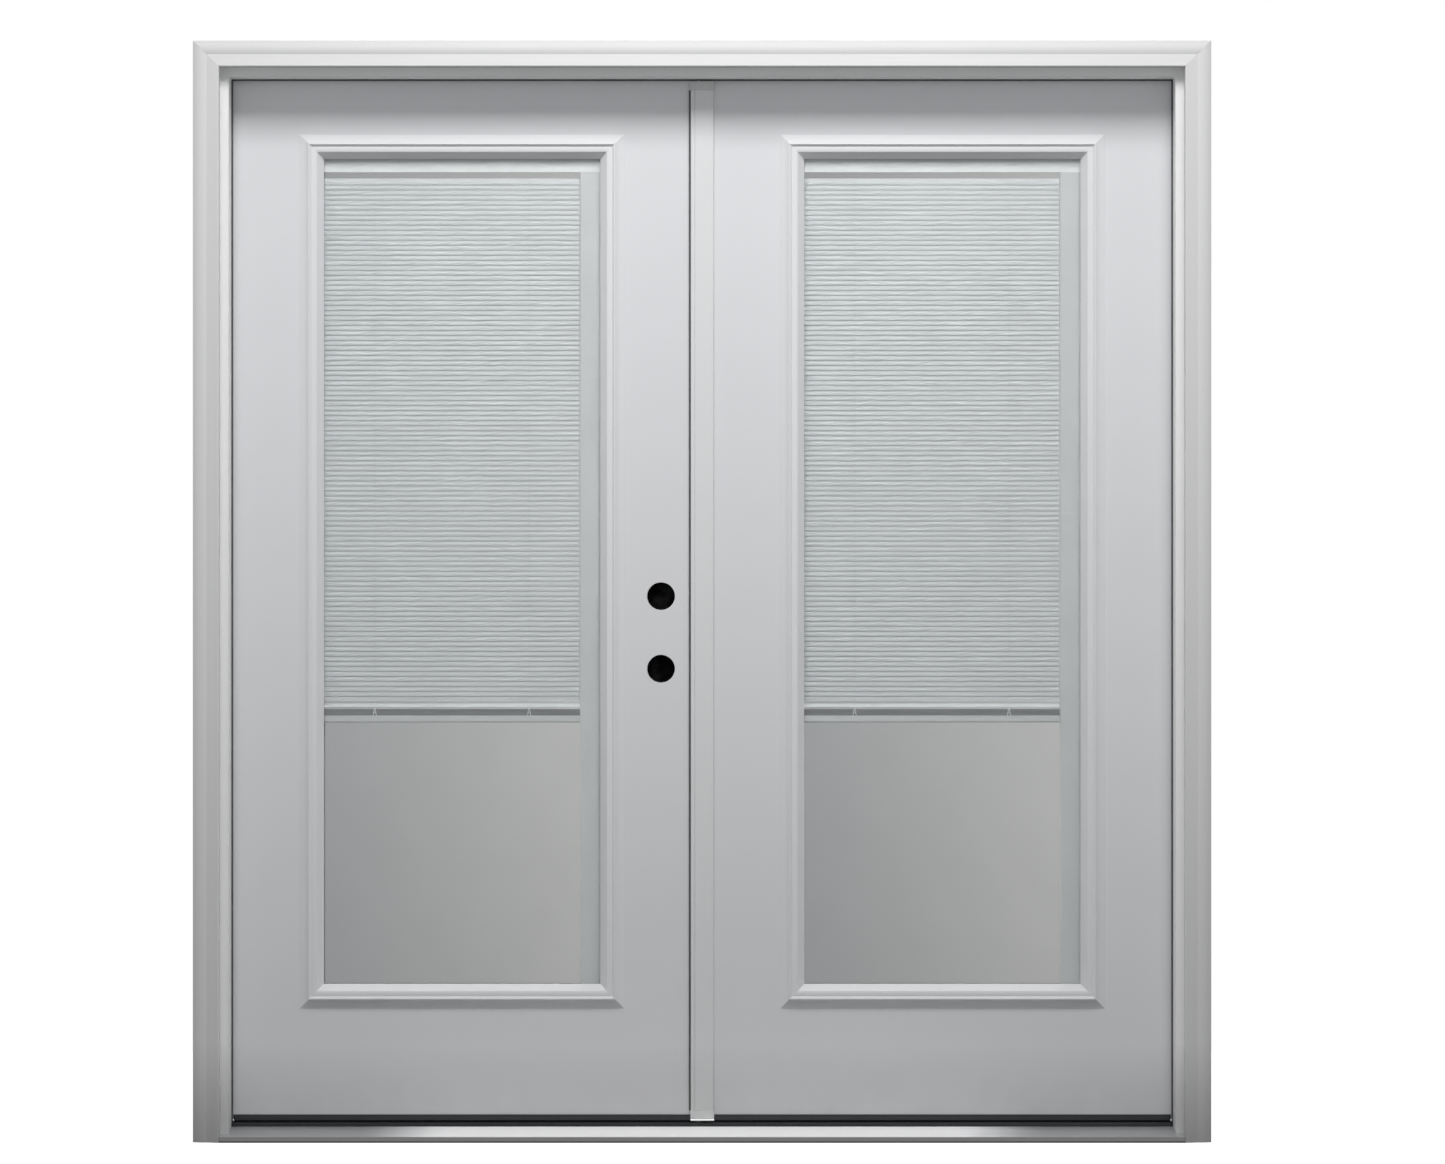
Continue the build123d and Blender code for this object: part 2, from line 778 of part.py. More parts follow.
def make_astragal():
    """T-bar on the passive leaf's lock edge, with its seal, foam boots and flush bolts."""
    boot_base = leaf_bottom
    flange_base = boot_base + boot_height
    groove = -flange_half + flange_groove_inset
    seal_inner = -flange_half + astragal_seal_width
    bolts = {
        "bottom_bolt": (stem_base, 1),
        "top_bolt": (stem_top, -1),
    }

    with BuildPart() as bar:
        with BuildSketch(Plane.XY.offset(flange_base)):
            with Locations((0, (flange_front + flange_back) / 2)):
                flange = Rectangle(flange_width, flange_thickness)
            fillet(flange.vertices().group_by(Axis.Y)[0], flange_round)
            with Locations((groove, flange_front + flange_groove_depth / 2)):
                Rectangle(flange_groove_width, flange_groove_depth, mode=Mode.SUBTRACT)
            with Locations((-flange_half + astragal_seal_width / 2, flange_back - astragal_seal_depth / 2)):
                Rectangle(astragal_seal_width, astragal_seal_depth, mode=Mode.SUBTRACT)
        extrude(amount=flange_top - boot_height - flange_base)
        stem_ends = (stem_left, leaf_lock_edge)
        plate_box(stem_ends, (flange_back, leaf_face), (flange_base, flange_top - boot_height))
        plate_box(stem_ends, (leaf_face, stem_back), (stem_base, stem_top))
        for height in bore_heights:
            plate_box(
                (stem_left - overrun, stem_left + strike_pocket_depth),
                (leaf_middle - strike_pocket_width / 2, leaf_middle + strike_pocket_width / 2),
                (height - strike_pocket_height / 2, height + strike_pocket_height / 2),
                Mode.SUBTRACT,
            )
        slot_half = bolt_tab_width / 2 + bolt_clearance
        for end, up in bolts.values():
            channel = bolt_length + bolt_throw + overrun
            with Locations((stem_middle, bolt_depth, end + up * channel / 2)):
                Cylinder(bolt_radius + bolt_clearance, channel, mode=Mode.SUBTRACT)
            tab = end + up * bolt_length * bolt_tab_share
            reach = bolt_tab_height / 2 + bolt_throw + overrun
            plate_box(
                (stem_left - overrun, stem_middle),
                (bolt_depth - slot_half, bolt_depth + slot_half),
                (tab - reach, tab + reach),
                Mode.SUBTRACT,
            )
    save(bar, "astragal")

    with BuildPart() as seal:
        plate_box(
            (-flange_half - astragal_seal_proud, seal_inner - barb_clearance),
            (flange_back - astragal_seal_depth, leaf_face - flange_gap / 2),
            (flange_base, flange_top - boot_height),
        )
    save(seal, "astragal_seal")

    with BuildPart() as boots:
        for low in (boot_base, flange_top - boot_height):
            plate_box(
                (-flange_half - boot_margin, flange_half + boot_margin),
                (flange_front - boot_margin, flange_back),
                (low, low + boot_height),
            )
    save(boots, "astragal_boots")

    for label, (end, up) in bolts.items():
        tab = end + up * bolt_length * bolt_tab_share
        with BuildPart() as bolt:
            with Locations((stem_middle, bolt_depth, end + up * bolt_length / 2)):
                Cylinder(bolt_radius, bolt_length)
            plate_box(
                (stem_left, stem_middle),
                (bolt_depth - bolt_tab_width / 2, bolt_depth + bolt_tab_width / 2),
                (tab - bolt_tab_height / 2, tab + bolt_tab_height / 2),
            )
        save(bolt, label)


make_head_jamb()
make_brickmould_head()
make_sill()
make_head_weatherstrip()
make_corner_pads()
make_astragal()
for side in leaf_names:
    make_side_jamb(side)
    make_brickmould_leg(side)
    make_side_weatherstrip(side)
    make_slab(side)
    for level in hinge_heights:
        make_hinge(side, level)
    make_hinge_pins(side)
    make_lite(side)
    make_blind(side)
    make_sweep(side)
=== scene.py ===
# %% [markdown]
# # A double patio door between two jambs
# The real thing is a ready-hung door unit: two glazed leaves in a wooden frame, with a small blind sealed
# between the panes of each. Its solids were drawn in CAD, and they are already at their true size and place.
# This lesson gives every solid its finish and adds what is too fine for solids, such as ladders and screws.

# %% Load the solids
import json
import math
import random

import bmesh
import bpy
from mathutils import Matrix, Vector

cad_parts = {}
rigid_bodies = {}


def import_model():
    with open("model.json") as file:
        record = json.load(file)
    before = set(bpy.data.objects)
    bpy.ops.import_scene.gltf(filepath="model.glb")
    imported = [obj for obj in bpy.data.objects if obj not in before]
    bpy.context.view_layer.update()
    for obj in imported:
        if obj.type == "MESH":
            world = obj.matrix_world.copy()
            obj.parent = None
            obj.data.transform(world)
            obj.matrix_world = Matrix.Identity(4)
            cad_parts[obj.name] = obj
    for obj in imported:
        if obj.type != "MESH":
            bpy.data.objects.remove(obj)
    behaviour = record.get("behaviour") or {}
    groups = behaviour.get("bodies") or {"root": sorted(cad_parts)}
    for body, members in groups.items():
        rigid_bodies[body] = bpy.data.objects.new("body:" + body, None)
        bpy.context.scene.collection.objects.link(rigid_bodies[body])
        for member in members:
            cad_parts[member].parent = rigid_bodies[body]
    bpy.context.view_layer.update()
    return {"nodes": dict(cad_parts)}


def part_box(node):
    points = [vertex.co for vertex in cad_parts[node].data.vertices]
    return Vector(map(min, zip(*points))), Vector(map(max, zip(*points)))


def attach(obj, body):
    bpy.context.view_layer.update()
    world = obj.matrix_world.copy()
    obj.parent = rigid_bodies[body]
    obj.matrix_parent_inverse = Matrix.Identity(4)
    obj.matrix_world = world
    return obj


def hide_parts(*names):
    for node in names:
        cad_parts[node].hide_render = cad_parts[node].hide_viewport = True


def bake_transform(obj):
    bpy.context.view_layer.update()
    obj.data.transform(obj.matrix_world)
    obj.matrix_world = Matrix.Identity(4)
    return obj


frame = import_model()
HANDS = {"active": -1, "passive": 1}
LEVELS = ("lower", "middle", "upper")

# %% [markdown]
# ## The camera
# The door was photographed square on from far away, which keeps its edges nearly parallel. A short lens close
# by would splay the jambs, so we stand twelve metres off with a long lens. The camera's height is the height
# at which the picture's horizon sits, a little above the middle of the leaves.

# %% Camera
SENSOR_WIDTH, FOCAL_LENGTH = 36, 156.9
CAMERA_PLACE = (0.039, -12.03, 1.0687)

lens = bpy.data.cameras.new("portrait_camera")
lens.sensor_width = SENSOR_WIDTH
lens.lens = FOCAL_LENGTH
camera = bpy.data.objects.new("portrait_camera", lens)
camera.location = CAMERA_PLACE
camera.rotation_euler = (math.radians(90), 0, 0)
bpy.context.scene.collection.objects.link(camera)
bpy.context.scene.camera = camera
bpy.context.scene.view_settings.view_transform = "Standard"
print("camera", round(-camera.location.y, 2), "m in front of the jambs")

# %% [markdown]
# ## A white room
# A product picture has a white surround, but a door that stood in a white box would lose all its shading.
# Light Path lets us split the two: the eye sees white, while the door is lit by a much dimmer grey that
# changes with height. The panes look through to that same grey, which is why clear glass reads as grey here.
# The floor is split the same way. It glows for the eye and a little for rays that come through glass, but its
# paint is dark, so it throws hardly any light up at the door.

# %% Surround
SKY_STOPS = {0.0: 0.25, 0.3: 0.56, 0.455: 0.345, 0.5: 0.515, 0.6: 0.38, 1.0: 0.36}
SKY_TINT = (0.98, 0.99, 1.0, 1)
FLOOR_RADIUS, FLOOR_DROP, FLOOR_SIDES = 2.6, 0.0004, 96
FLOOR_GREY, FLOOR_ROUGHNESS = (0.09, 0.09, 0.092, 1), 0.75
EYE_GLOW, GLASS_GLOW = 0.98, 0.36

surround = bpy.data.worlds.new("white_room")
surround.use_nodes = True
bpy.context.scene.world = surround
room = surround.node_tree
dim_light = room.nodes["Background"]
dim_light.inputs["Color"].default_value = SKY_TINT
seen_white = room.nodes.new("ShaderNodeBackground")
seen_white.inputs["Color"].default_value = (1, 1, 1, 1)
sky_direction = room.nodes.new("ShaderNodeTexCoord")
sky_parts = room.nodes.new("ShaderNodeSeparateXYZ")
sky_place = room.nodes.new("ShaderNodeMapRange")
sky_place.inputs["From Min"].default_value = -1.0
sky_level = room.nodes.new("ShaderNodeValToRGB")
while len(sky_level.color_ramp.elements) < len(SKY_STOPS):
    sky_level.color_ramp.elements.new(0.5)
for stop, (height, grey) in zip(sky_level.color_ramp.elements, SKY_STOPS.items()):
    stop.position = height
    stop.color = (grey, grey, grey, 1)
ray_kind = room.nodes.new("ShaderNodeLightPath")
either = room.nodes.new("ShaderNodeMixShader")
room.links.new(sky_direction.outputs["Generated"], sky_parts.inputs["Vector"])
room.links.new(sky_parts.outputs["Z"], sky_place.inputs["Value"])
room.links.new(sky_place.outputs["Result"], sky_level.inputs["Fac"])
room.links.new(sky_level.outputs["Color"], dim_light.inputs["Strength"])
room.links.new(ray_kind.outputs["Is Camera Ray"], either.inputs["Fac"])
room.links.new(dim_light.outputs["Background"], either.inputs[1])
room.links.new(seen_white.outputs["Background"], either.inputs[2])
room.links.new(either.outputs["Shader"], room.nodes["World Output"].inputs["Surface"])

bpy.ops.object.select_all(action="DESELECT")
bpy.ops.mesh.primitive_circle_add(
    vertices=FLOOR_SIDES, radius=FLOOR_RADIUS, fill_type="NGON", location=(0, 0, -FLOOR_DROP)
)
floor = bpy.context.object
floor.name = "floor"
floor_paint = bpy.data.materials.new("floor_paint")
floor_paint.use_nodes = True
floor.data.materials.append(floor_paint)
tree = floor_paint.node_tree
floor_shader = tree.nodes["Principled BSDF"]
floor_shader.inputs["Base Color"].default_value = FLOOR_GREY
floor_shader.inputs["Roughness"].default_value = FLOOR_ROUGHNESS
glow = tree.nodes.new("ShaderNodeEmission")
eye_ray = tree.nodes.new("ShaderNodeLightPath")
through_glass = tree.nodes.new("ShaderNodeMath")
through_glass.operation = "MULTIPLY"
through_glass.inputs[1].default_value = GLASS_GLOW
lift = tree.nodes.new("ShaderNodeMath")
lift.operation = "MULTIPLY_ADD"
lift.inputs[1].default_value = EYE_GLOW
both = tree.nodes.new("ShaderNodeAddShader")
tree.links.new(eye_ray.outputs["Is Transmission Ray"], through_glass.inputs[0])
tree.links.new(eye_ray.outputs["Is Camera Ray"], lift.inputs[0])
tree.links.new(through_glass.outputs["Value"], lift.inputs[2])
tree.links.new(lift.outputs["Value"], glow.inputs["Strength"])
tree.links.new(floor_shader.outputs["BSDF"], both.inputs[0])
tree.links.new(glow.outputs["Emission"], both.inputs[1])
tree.links.new(both.outputs["Shader"], tree.nodes["Material Output"].inputs["Surface"])
print("floor and surround ready")

# %% [markdown]
# ## Two panels of light
# The shadow under the head is sharp for a hand's width and then fades out, and the leaves darken towards the
# floor. Both say the same thing: one broad light hangs in front of the door, well above it. An area light
# does that, and its distance alone makes the slow fall-off down the leaves. The far side of the door would be
# almost black without a light of its own, so a second panel hangs indoors. It is above the lites' line of
# sight, and the outdoor picture hardly changes.


# %% Lights
def hang_panel(name, size, watts, place, target):
    """A rectangular area light at a place, turned to a target; returns the light's data."""
    light = bpy.data.lights.new(name, "AREA")
    light.shape = "RECTANGLE"
    light.size, light.size_y = size
    light.energy = watts
    panel = bpy.data.objects.new(name, light)
    panel.location = place
    aim = Vector(target) - Vector(place)
    panel.rotation_euler = aim.to_track_quat("-Z", "Y").to_euler()
    bpy.context.scene.collection.objects.link(panel)
    print(name, "is", round(aim.length, 2), "m from what it lights")
    return light


KEY_SIZE, KEY_WATTS, KEY_SPREAD = (3.2, 1.05), 26, math.radians(75)
KEY_PLACE, KEY_TARGET = (0.12, -2.2, 4.4), (0.05, 0.05, 1.5)
FILL_SIZE, FILL_WATTS = (3.0, 1.5), 85
FILL_PLACE, FILL_TARGET = (0, 3.4, 3.6), (0, 0.1, 1.1)

key = hang_panel("overhead_panel", KEY_SIZE, KEY_WATTS, KEY_PLACE, KEY_TARGET)
key.spread = KEY_SPREAD
key.color = (1.0, 0.995, 0.99)
hang_panel("indoor_panel", FILL_SIZE, FILL_WATTS, FILL_PLACE, FILL_TARGET)

# %% [markdown]
# ## How a finish is put together
# Each finish is one Principled shader fed by a small group of textures. A group takes a place on the object,
# in metres, and gives back a colour, a roughness and a height for the bump. Groups are worth the trouble
# because the same paint is sprayed on several pieces and the same grain runs up one jamb and along another.
# The helpers below only save typing: one adds a node, one opens a group, one wires a group to a shader.


# %% Helpers for finishes
def add_node(tree, kind, **values):
    """Add a node and set its inputs by name."""
    node = tree.nodes.new(kind)
    for name, value in values.items():
        node.inputs[name.replace("_", " ")].default_value = value
    return node


def noise(tree, place, scale, detail=2.0, roughness=0.5):
    """A noise texture that reads the given place; returns its grey output."""
    node = add_node(tree, "ShaderNodeTexNoise", Scale=scale, Detail=detail, Roughness=roughness)
    tree.links.new(place, node.inputs["Vector"])
    return node.outputs["Fac"]


def ranged(tree, value, span, result):
    """Stretch one span of values to another, and hold it there past both ends."""
    node = tree.nodes.new("ShaderNodeMapRange")
    for name, number in zip(("From Min", "From Max", "To Min", "To Max"), (*span, *result)):
        node.inputs[name].default_value = number
    tree.links.new(value, node.inputs["Value"])
    return node.outputs["Result"]


def calc(tree, operation, first, second):
    """One sum on two values, each a socket or a number."""
    node = tree.nodes.new("ShaderNodeMath")
    node.operation = operation
    for socket, value in zip(node.inputs, (first, second)):
        if isinstance(value, (int, float)):
            socket.default_value = value
        else:
            tree.links.new(value, socket)
    return node.outputs["Value"]


def tinted(tree, colour, factor, tint):
    """Lay a tint over a colour, as strongly as the factor says."""
    node = tree.nodes.new("ShaderNodeMix")
    node.data_type = "RGBA"
    for socket, value in ((node.inputs[0], factor), (node.inputs[6], colour), (node.inputs[7], tint)):
        if isinstance(value, tuple):
            socket.default_value = value
        else:
            tree.links.new(value, socket)
    return node.outputs[2]


def parts_of(tree, vector):
    """Split a vector; returns the outputs X, Y and Z."""
    split = tree.nodes.new("ShaderNodeSeparateXYZ")
    tree.links.new(vector, split.inputs["Vector"])
    return split.outputs


def open_group(name):
    """A texture group with a place and a colour going in, and colour, roughness and height coming out."""
    group = bpy.data.node_groups.new(name, "ShaderNodeTree")
    group.interface.new_socket("Place", in_out="INPUT", socket_type="NodeSocketVector")
    group.interface.new_socket("Colour", in_out="INPUT", socket_type="NodeSocketColor")
    group.interface.new_socket("Colour", in_out="OUTPUT", socket_type="NodeSocketColor")
    group.interface.new_socket("Roughness", in_out="OUTPUT", socket_type="NodeSocketFloat")
    group.interface.new_socket("Height", in_out="OUTPUT", socket_type="NodeSocketFloat")
    entry = group.nodes.new("NodeGroupInput")
    leave = group.nodes.new("NodeGroupOutput")
    return group, entry.outputs["Place"], entry.outputs["Colour"], leave.inputs


def make_finish(name, group, colour, stretch=(1, 1, 1), depth=0.0004, strength=0.25, edge=0.0, dull=0.0,
                **constants):
    """A material: the group's textures on a Principled shader, rounder at edges or duller where asked."""
    material = bpy.data.materials.new(name)
    material.use_nodes = True
    tree = material.node_tree
    shader = tree.nodes["Principled BSDF"]
    for socket, value in constants.items():
        shader.inputs[socket.replace("_", " ")].default_value = value
    place = tree.nodes.new("ShaderNodeTexCoord")
    mapping = add_node(tree, "ShaderNodeMapping", Scale=stretch)
    effect = tree.nodes.new("ShaderNodeGroup")
    effect.node_tree = group
    effect.inputs["Colour"].default_value = (*colour, 1)
    bump = add_node(tree, "ShaderNodeBump", Strength=strength, Distance=depth)
    tree.links.new(place.outputs["Object"], mapping.inputs["Vector"])
    tree.links.new(mapping.outputs["Vector"], effect.inputs["Place"])
    tree.links.new(effect.outputs["Colour"], shader.inputs["Base Color"])
    tree.links.new(calc(tree, "ADD", effect.outputs["Roughness"], dull), shader.inputs["Roughness"])
    tree.links.new(effect.outputs["Height"], bump.inputs["Height"])
    tree.links.new(bump.outputs["Normal"], shader.inputs["Normal"])
    if "Metal" in effect.outputs:
        tree.links.new(effect.outputs["Metal"], shader.inputs["Metallic"])
    if edge:
        rounding = add_node(tree, "ShaderNodeBevel", Radius=edge)
        rounding.samples = 4
        tree.links.new(rounding.outputs["Normal"], bump.inputs["Normal"])
    return material


def wear(material, *names):
    """Give the named solids this finish."""
    for name in names:
        frame["nodes"][name].data.materials.clear()
        frame["nodes"][name].data.materials.append(material)
    print(material.name, "on", len(names), "solids")


# %% [markdown]
# ## Sprayed white paint
# Leaves, lite frames and the astragal have a factory coat: white, satin, with the faint orange peel that a
# spray gun leaves. A plain white shader looks like plaster, so the group adds a slow drift in tone over a
# hand's width, fine specks and the peel as bump. Two marks are painted shade: the foot of the leaves is
# greyed in blotches, more so towards the floor, and every face that looks up is greyed, which the Z of the
# surface normal finds.

# %% Sprayed paint
DRIFT_GREY, SPECK_GREY = (0.66, 0.67, 0.7, 1), (0.55, 0.54, 0.52, 1)
LEAF_FOOT_SHADE_GREY, UPWARD_SHADE_GREY = (0.41, 0.41, 0.415, 1), (0.45, 0.45, 0.45, 1)
LEAF_FOOT_SHADE_HEIGHTS, LEAF_FOOT_SHADE_AMOUNT = (0.03, 0.18), 0.62
UPWARD_SHADE_SLOPES, UPWARD_SHADE_AMOUNT = (0.1, 0.8), 0.38

spray, place, colour, out = open_group("sprayed_paint")
drift = ranged(spray, noise(spray, place, scale=2.3, detail=3.0), (0.3, 0.7), (0.0, 0.05))
drifted = tinted(spray, colour, drift, DRIFT_GREY)
specks = ranged(spray, noise(spray, place, scale=260.0, detail=5.0, roughness=0.6), (0.66, 0.76), (0.0, 0.1))
specked = tinted(spray, drifted, specks, SPECK_GREY)
# painted shade: greys the foot of each leaf in blotches, more towards the floor
shade_towards_foot = ranged(spray, parts_of(spray, place)["Z"], LEAF_FOOT_SHADE_HEIGHTS, (LEAF_FOOT_SHADE_AMOUNT, 0.0))
blotches = ranged(spray, noise(spray, place, scale=14.0, detail=5.0), (0.3, 0.7), (0.82, 1.0))
foot_shade_mask = calc(spray, "MULTIPLY", shade_towards_foot, blotches)
foot_shaded = tinted(spray, specked, foot_shade_mask, LEAF_FOOT_SHADE_GREY)
# painted shade: greys every face that looks up
facing = spray.nodes.new("ShaderNodeNewGeometry").outputs["Normal"]
upward_shade = ranged(spray, parts_of(spray, facing)["Z"], UPWARD_SHADE_SLOPES, (0.0, UPWARD_SHADE_AMOUNT))
spray.links.new(tinted(spray, foot_shaded, upward_shade, UPWARD_SHADE_GREY), out["Colour"])
gloss_drift = ranged(spray, noise(spray, place, scale=7.0, detail=4.0), (0.3, 0.7), (0.33, 0.45))
spray.links.new(calc(spray, "ADD", gloss_drift, calc(spray, "MULTIPLY", foot_shade_mask, 0.3)), out["Roughness"])
peel = calc(spray, "MULTIPLY", noise(spray, place, scale=330.0, detail=1.5), 0.7)
stipple = calc(spray, "MULTIPLY", noise(spray, place, scale=1400.0, detail=1.0), 0.3)
spray.links.new(calc(spray, "ADD", peel, stipple), out["Height"])

FINE_PEEL = {"depth": 0.0002, "strength": 0.16, "edge": 0.0005}
leaf_paint = make_finish("leaf_paint", spray, (0.79, 0.795, 0.815), depth=0.0003, strength=0.22, edge=0.0008)
lite_paint = make_finish("lite_frame_paint", spray, (0.82, 0.825, 0.84), dull=0.2, **FINE_PEEL)
astragal_paint = make_finish("astragal_paint", spray, (0.8, 0.805, 0.81), **FINE_PEEL)
wear(leaf_paint, "active_slab", "passive_slab")
wear(lite_paint, *[f"{hand}_lite_{side}_frame" for hand in HANDS for side in ("outer", "inner")])
wear(astragal_paint, "astragal")

# %% [markdown]
# ## Painted timber
# Jambs and brickmould are finger-jointed softwood under primer and paint. Close up, the grain still
# telegraphs through as long shallow ridges along the length of each piece. Stretching one noise along the
# piece gives that grain, so the same group serves uprights and the head, and only the stretch in the Mapping
# node is turned. The feet of the uprights are greyed with painted shade, more so towards the floor. The group
# sees stretched heights, and on the head they are so large that this shade never reaches it. The one paint
# is also given three whites: brightest on the jambs, which is painted light, and darkest on the head
# brickmould, which is painted shade.

# %% Painted timber
GRAIN_GREY, TIMBER_FOOT_SHADE_GREY = (0.58, 0.57, 0.55, 1), (0.27, 0.27, 0.275, 1)
TIMBER_FOOT_SHADE_HEIGHTS, TIMBER_FOOT_SHADE_AMOUNT = (0.03, 0.42), 0.62

timber, place, colour, out = open_group("painted_timber")
grain = noise(timber, place, scale=1.0, detail=5.0, roughness=0.62)
brushing = noise(timber, place, scale=3.1)
grained = tinted(timber, colour, ranged(timber, grain, (0.3, 0.72), (0.0, 0.07)), GRAIN_GREY)
# painted shade: greys the feet of the uprights, more towards the floor
shade_towards_foot = ranged(timber, parts_of(timber, place)["Z"], TIMBER_FOOT_SHADE_HEIGHTS, (TIMBER_FOOT_SHADE_AMOUNT, 0.0))
timber_foot_shade = calc(timber, "MULTIPLY", shade_towards_foot, ranged(timber, brushing, (0.25, 0.75), (0.8, 1.0)))
timber.links.new(tinted(timber, grained, timber_foot_shade, TIMBER_FOOT_SHADE_GREY), out["Colour"])
timber.links.new(ranged(timber, brushing, (0.3, 0.7), (0.5, 0.64)), out["Roughness"])
ridges = calc(timber, "MULTIPLY", grain, 0.75)
strokes = calc(timber, "MULTIPLY", brushing, 0.25)
timber.links.new(calc(timber, "ADD", ridges, strokes), out["Height"])

UP_GRAIN, ALONG_GRAIN = (190, 190, 2.2), (2.2, 190, 190)
# one paint in three whites: the jambs' brighter white is painted light, the head brickmould's darker white is
# painted shade
JAMB_LIT_WHITE, LEG_WHITE, HEAD_SHADED_WHITE = (0.94, 0.94, 0.935), (0.775, 0.775, 0.78), (0.64, 0.64, 0.645)
SOFT_WOOD = {"depth": 0.0004, "strength": 0.3, "edge": 0.001}
jamb_upright = make_finish("jamb_upright", timber, JAMB_LIT_WHITE, UP_GRAIN, **SOFT_WOOD)
jamb_level = make_finish("jamb_level", timber, JAMB_LIT_WHITE, ALONG_GRAIN, **SOFT_WOOD)
moulding_upright = make_finish("moulding_upright", timber, LEG_WHITE, UP_GRAIN, **SOFT_WOOD)
moulding_level = make_finish("moulding_level", timber, HEAD_SHADED_WHITE, ALONG_GRAIN, **SOFT_WOOD)
wear(jamb_upright, "left_jamb", "right_jamb")
wear(jamb_level, "head_jamb")
wear(moulding_upright, "left_brickmould", "right_brickmould")
wear(moulding_level, "head_brickmould")

# %% [markdown]
# ## Glass
# Each leaf has two tempered panes. The outdoor one is clear float glass, faintly green; the indoor one
# carries a metal coating and is greyer. Across each pane the tint runs from dark at the left to pale at the
# right, most on the indoor pane: that run is painted shade. Clear glass blocks lamp light in a path tracer,
# because light cannot be aimed through a refracting solid. So for shadow rays only, the shader swaps to
# Transparent, and the blind behind the pane is lit. The two leaves share one run of painted shade, repeated
# at the distance between their middles.

# %% Glass
LEAF_SPACING, PANE_SHADE_SPAN = 0.92325, (0.2, 0.72)
FILM_GREY = (0.7, 0.71, 0.7, 1)


def make_glass(name, left_tint, right_tint, shadow):
    """Refracting glass with painted shade running across each pane, and which lets shadow rays pass."""
    material = bpy.data.materials.new(name)
    material.use_nodes = True
    tree = material.node_tree
    shader = tree.nodes["Principled BSDF"]
    shader.inputs["Transmission Weight"].default_value = 1.0
    shader.inputs["IOR"].default_value = 1.5
    place = tree.nodes.new("ShaderNodeTexCoord").outputs["Object"]
    across = calc(tree, "FLOORED_MODULO", parts_of(tree, place)["X"], LEAF_SPACING)
    # painted shade: the tint runs across each pane from the left colour to the right one
    tint = tinted(tree, left_tint, ranged(tree, across, PANE_SHADE_SPAN, (0.0, 1.0)), right_tint)
    film = ranged(tree, noise(tree, place, scale=9.0, detail=4.0), (0.4, 0.75), (0.0, 0.06))
    tree.links.new(tinted(tree, tint, film, FILM_GREY), shader.inputs["Base Color"])
    smears = noise(tree, place, scale=31.0, detail=5.0, roughness=0.6)
    tree.links.new(ranged(tree, smears, (0.45, 0.8), (0.0, 0.05)), shader.inputs["Roughness"])
    passing = add_node(tree, "ShaderNodeBsdfTransparent", Color=(*shadow, 1))
    rays = tree.nodes.new("ShaderNodeLightPath")
    swap = tree.nodes.new("ShaderNodeMixShader")
    tree.links.new(rays.outputs["Is Shadow Ray"], swap.inputs["Fac"])
    tree.links.new(shader.outputs["BSDF"], swap.inputs[1])
    tree.links.new(passing.outputs["BSDF"], swap.inputs[2])
    tree.links.new(swap.outputs["Shader"], tree.nodes["Material Output"].inputs["Surface"])
    return material


clear_glass = make_glass("clear_glass", (0.966, 0.98, 0.98, 1), (0.972, 0.983, 0.98, 1), (0.84, 0.85, 0.855))
coated_glass = make_glass("coated_glass", (0.7, 0.7, 0.705, 1), (1.0, 0.99, 0.965, 1), (0.8, 0.81, 0.8))
wear(clear_glass, "active_outer_pane", "passive_outer_pane")
wear(coated_glass, "active_inner_pane", "passive_inner_pane")

# %% [markdown]
# ## Metal
# The sill deck is mill-finish aluminium with drawn lines along its length; hinges and bolts are plated steel
# with a satin brush. Brushed metal is one stretched noise that moves both roughness and height, so highlights
# smear across the lines as they do on the real strip. The deck needs a group of its own, and it holds painted
# light: a pale painted highlight across its middle, where the deck is also not metal, while both ends keep
# their grey metal sheen; painted shade along its nose; and a nearly black painted shadow where the nose
# meets the floor.

# %% Metal
STAIN_GREY, LINE_GREY = (0.5, 0.5, 0.51, 1), (0.42, 0.42, 0.43, 1)

brushed, place, colour, out = open_group("brushed_metal")
lines = noise(brushed, place, scale=1.0, detail=3.0, roughness=0.6)
stains = noise(brushed, place, scale=0.12, detail=4.0, roughness=0.6)
dulled = tinted(brushed, colour, ranged(brushed, stains, (0.42, 0.75), (0.0, 0.22)), STAIN_GREY)
lined = tinted(brushed, dulled, ranged(brushed, lines, (0.35, 0.75), (0.0, 0.18)), LINE_GREY)
brushed.links.new(lined, out["Colour"])
brushed.links.new(ranged(brushed, lines, (0.3, 0.75), (0.26, 0.46)), out["Roughness"])
brushed.links.new(lines, out["Height"])

DRAWN_LINES = (3, 420, 420)
DECK_END_GREY, SCRATCH_GREY = (0.57, 0.575, 0.585, 1), (0.45, 0.45, 0.46, 1)
NOSE_SHADE_GREY, FOOT_SHADOW_BLACK = (0.38, 0.38, 0.385, 1), (0.03, 0.03, 0.03, 1)
HIGHLIGHT_REACH, NOSE_HEIGHTS, FOOT_HEIGHTS = (0.5, 0.64), (0.0095, 0.0118), (0.002, 0.0036)

deck_light, place, colour, out = open_group("trodden_sill")
deck_light.interface.new_socket("Metal", in_out="OUTPUT", socket_type="NodeSocketFloat")
leave = next(node for node in deck_light.nodes if node.bl_idname == "NodeGroupOutput")
at = parts_of(deck_light, place)
stretched = add_node(deck_light, "ShaderNodeMapping", Scale=DRAWN_LINES)
deck_light.links.new(place, stretched.inputs["Vector"])
lines = noise(deck_light, stretched.outputs["Vector"], scale=1.0, detail=3.0, roughness=0.6)
from_middle = calc(deck_light, "ABSOLUTE", at["X"], 0)
ragged = calc(deck_light, "ADD", from_middle, ranged(deck_light, lines, (0.3, 0.7), (-0.03, 0.03)))
